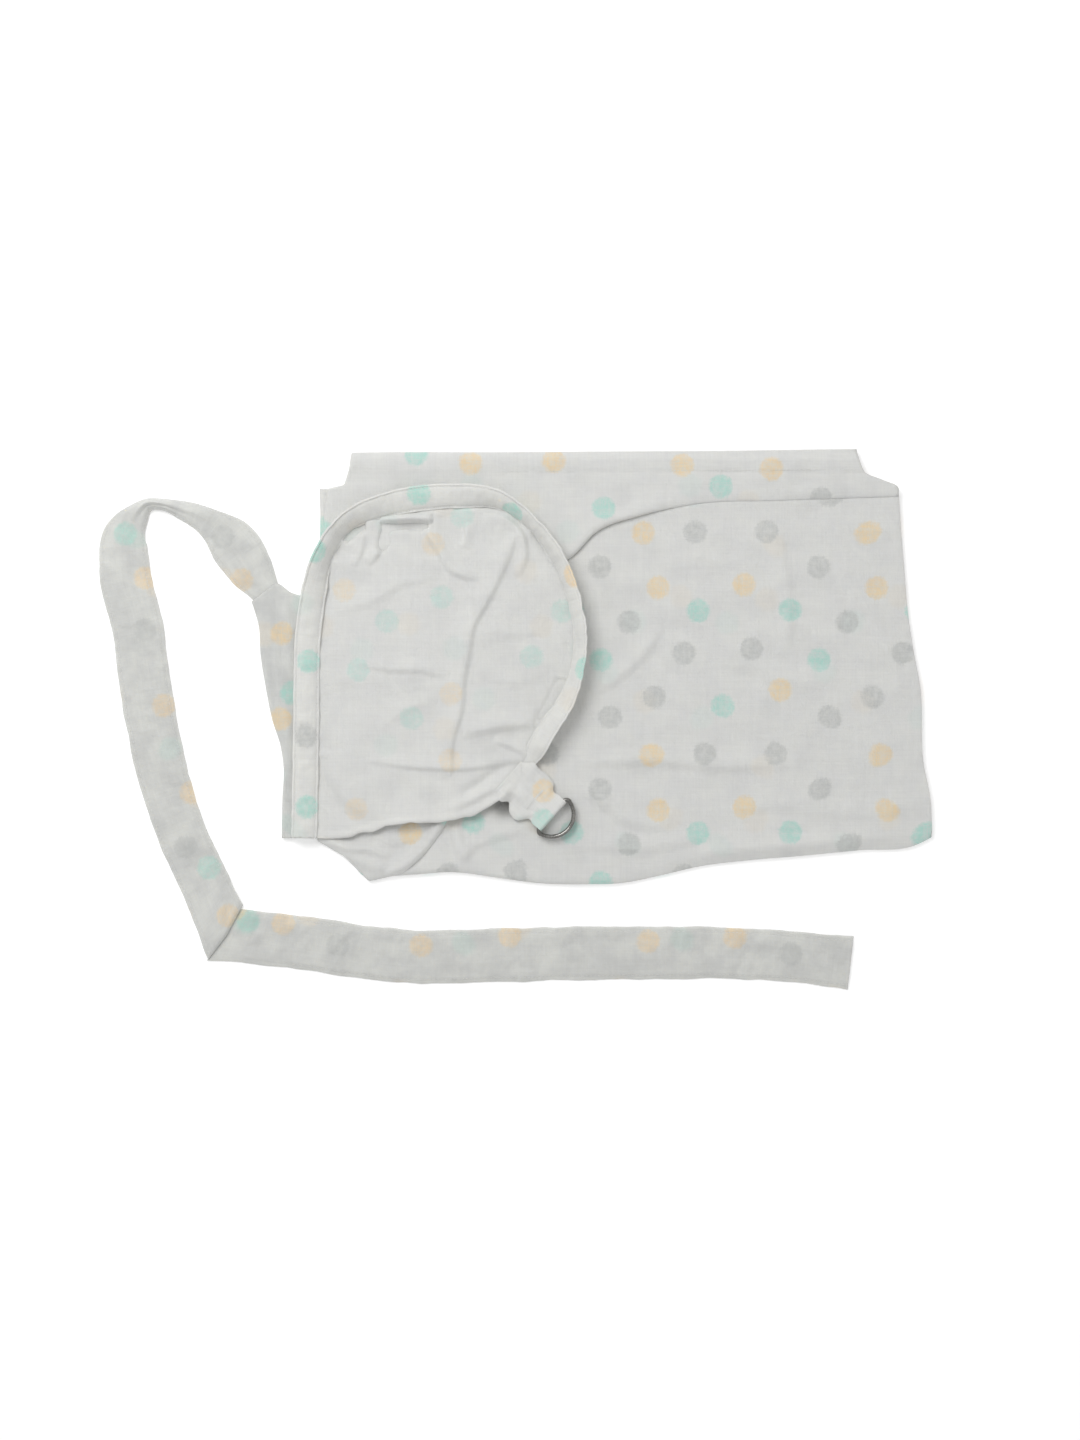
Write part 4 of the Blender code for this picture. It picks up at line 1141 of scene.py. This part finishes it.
hem_line = path(HEM_LINE, np.linspace(0, 1, 200))
hem_z = PANEL_TOP + broad_relief(hem_line[:, 0], hem_line[:, 1]) + 2.5
hem_stitches = thread_object("hem_stitches", stitches_along(np.column_stack([hem_line, hem_z])), 0.2, THREAD)

tab_along = (math.cos(TAB_TURN), math.sin(TAB_TURN), 0.0)
tack = zigzag(tab_place(LOOP_TACK_AT, -9.5, 0), tab_place(LOOP_TACK_AT, 9.5, 0), tab_along)
for end in tack.reshape(-1, 3):            # each stitch lies on the cloth
    end[2] = tab_top[np.argmin(np.hypot(tab_top[:, 0] - end[0], tab_top[:, 1] - end[1])), 2] + 0.5
loop_tack = thread_object("ring_loop_tack", tack, TACK_THREAD, THREAD)
seam_tack = thread_object("tab_seam_tack", zigzag(
    tab_place(SEAM_TACK_AT, -12.0, 0), tab_place(SEAM_TACK_AT, 12.0, 0), tab_along, 0.6), TACK_THREAD, THREAD)
root_tack = thread_object("strap_root_tack", zigzag(
    (-184.5, 101.5, 2.2), (-200.5, 91.2, 2.2), (-0.55, 0.83, 0), 0.6), TACK_THREAD, THREAD)
upper_wire, lower_wire = ring("d_ring_upper_wire", RING_HIGH), ring("d_ring_lower_wire", RING_LOW)

for piece in (panel, hem, side, corner, flap, band, band_stitches, hem_stitches, strap_cloth, strap_stitches,
              seam_tack, root_tack):
    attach(piece, "cover")
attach(loop_tack, "tab")
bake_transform(tab_cloth)
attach(lower_wire, "lower_ring")
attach(upper_wire, "upper_ring")

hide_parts("cover_panel")
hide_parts("neckline_casing")
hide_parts("neck_strap")
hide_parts("ring_tab")
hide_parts("ring_loop_bartack")
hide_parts("tab_bartack")
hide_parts("strap_bartack")
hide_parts("d_ring_upper")
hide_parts("d_ring_lower")
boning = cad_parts["neckline_boning"]
boning.data.materials.clear()
boning.data.materials.append(PLASTIC)

# ---------------------------------------------------------------- floor, light, camera
floor_mesh = bpy.data.meshes.new("floor")
FLOOR_HALF = 20      # metres
floor_corners = [(sx * FLOOR_HALF, sy * FLOOR_HALF, 0) for sx, sy in ((-1, -1), (1, -1), (1, 1), (-1, 1))]
floor_mesh.from_pydata(floor_corners, [], [(0, 1, 2, 3)])
floor = link(bpy.data.objects.new("floor", floor_mesh))
paper, _, _, shader = material("white_floor")
shader.inputs["Base Color"].default_value = (0.93, 0.93, 0.93, 1)
shader.inputs["Roughness"].default_value = 0.9
shader.inputs["Emission Color"].default_value = (1, 1, 1, 1)
shader.inputs["Emission Strength"].default_value = 0.27
floor_mesh.materials.append(paper)


def area_light(name, place, size, power, target=(0.05, 0, 0)):
    data = bpy.data.lights.new(name, "AREA")
    data.shape, data.size, data.energy = "DISK", size, power
    lamp = link(bpy.data.objects.new(name, data))
    lamp.location = place
    lamp.rotation_mode = "QUATERNION"
    lamp.rotation_quaternion = (Vector(target) - Vector(place)).to_track_quat("-Z", "Y")


area_light("key", (-0.62, 0.85, 1.45), 1.0, 15)
area_light("fill", (1.2, -0.9, 1.8), 2.0, 4)

world = bpy.data.worlds.new("studio")
bpy.context.scene.world = world
world.use_nodes = True
world.node_tree.nodes["Background"].inputs["Color"].default_value = (1, 1, 1, 1)
world.node_tree.nodes["Background"].inputs["Strength"].default_value = 0.55
bpy.context.scene.view_settings.view_transform = "Standard"

CAMERA_PLACE = (0.01925, -0.0004, 1.545)      # metres: straight above, looking down
camera_data = bpy.data.cameras.new("camera")
camera_data.lens = 50
camera_data.sensor_width = 36
camera = link(bpy.data.objects.new("camera", camera_data))
camera.location = CAMERA_PLACE
bpy.context.scene.camera = camera
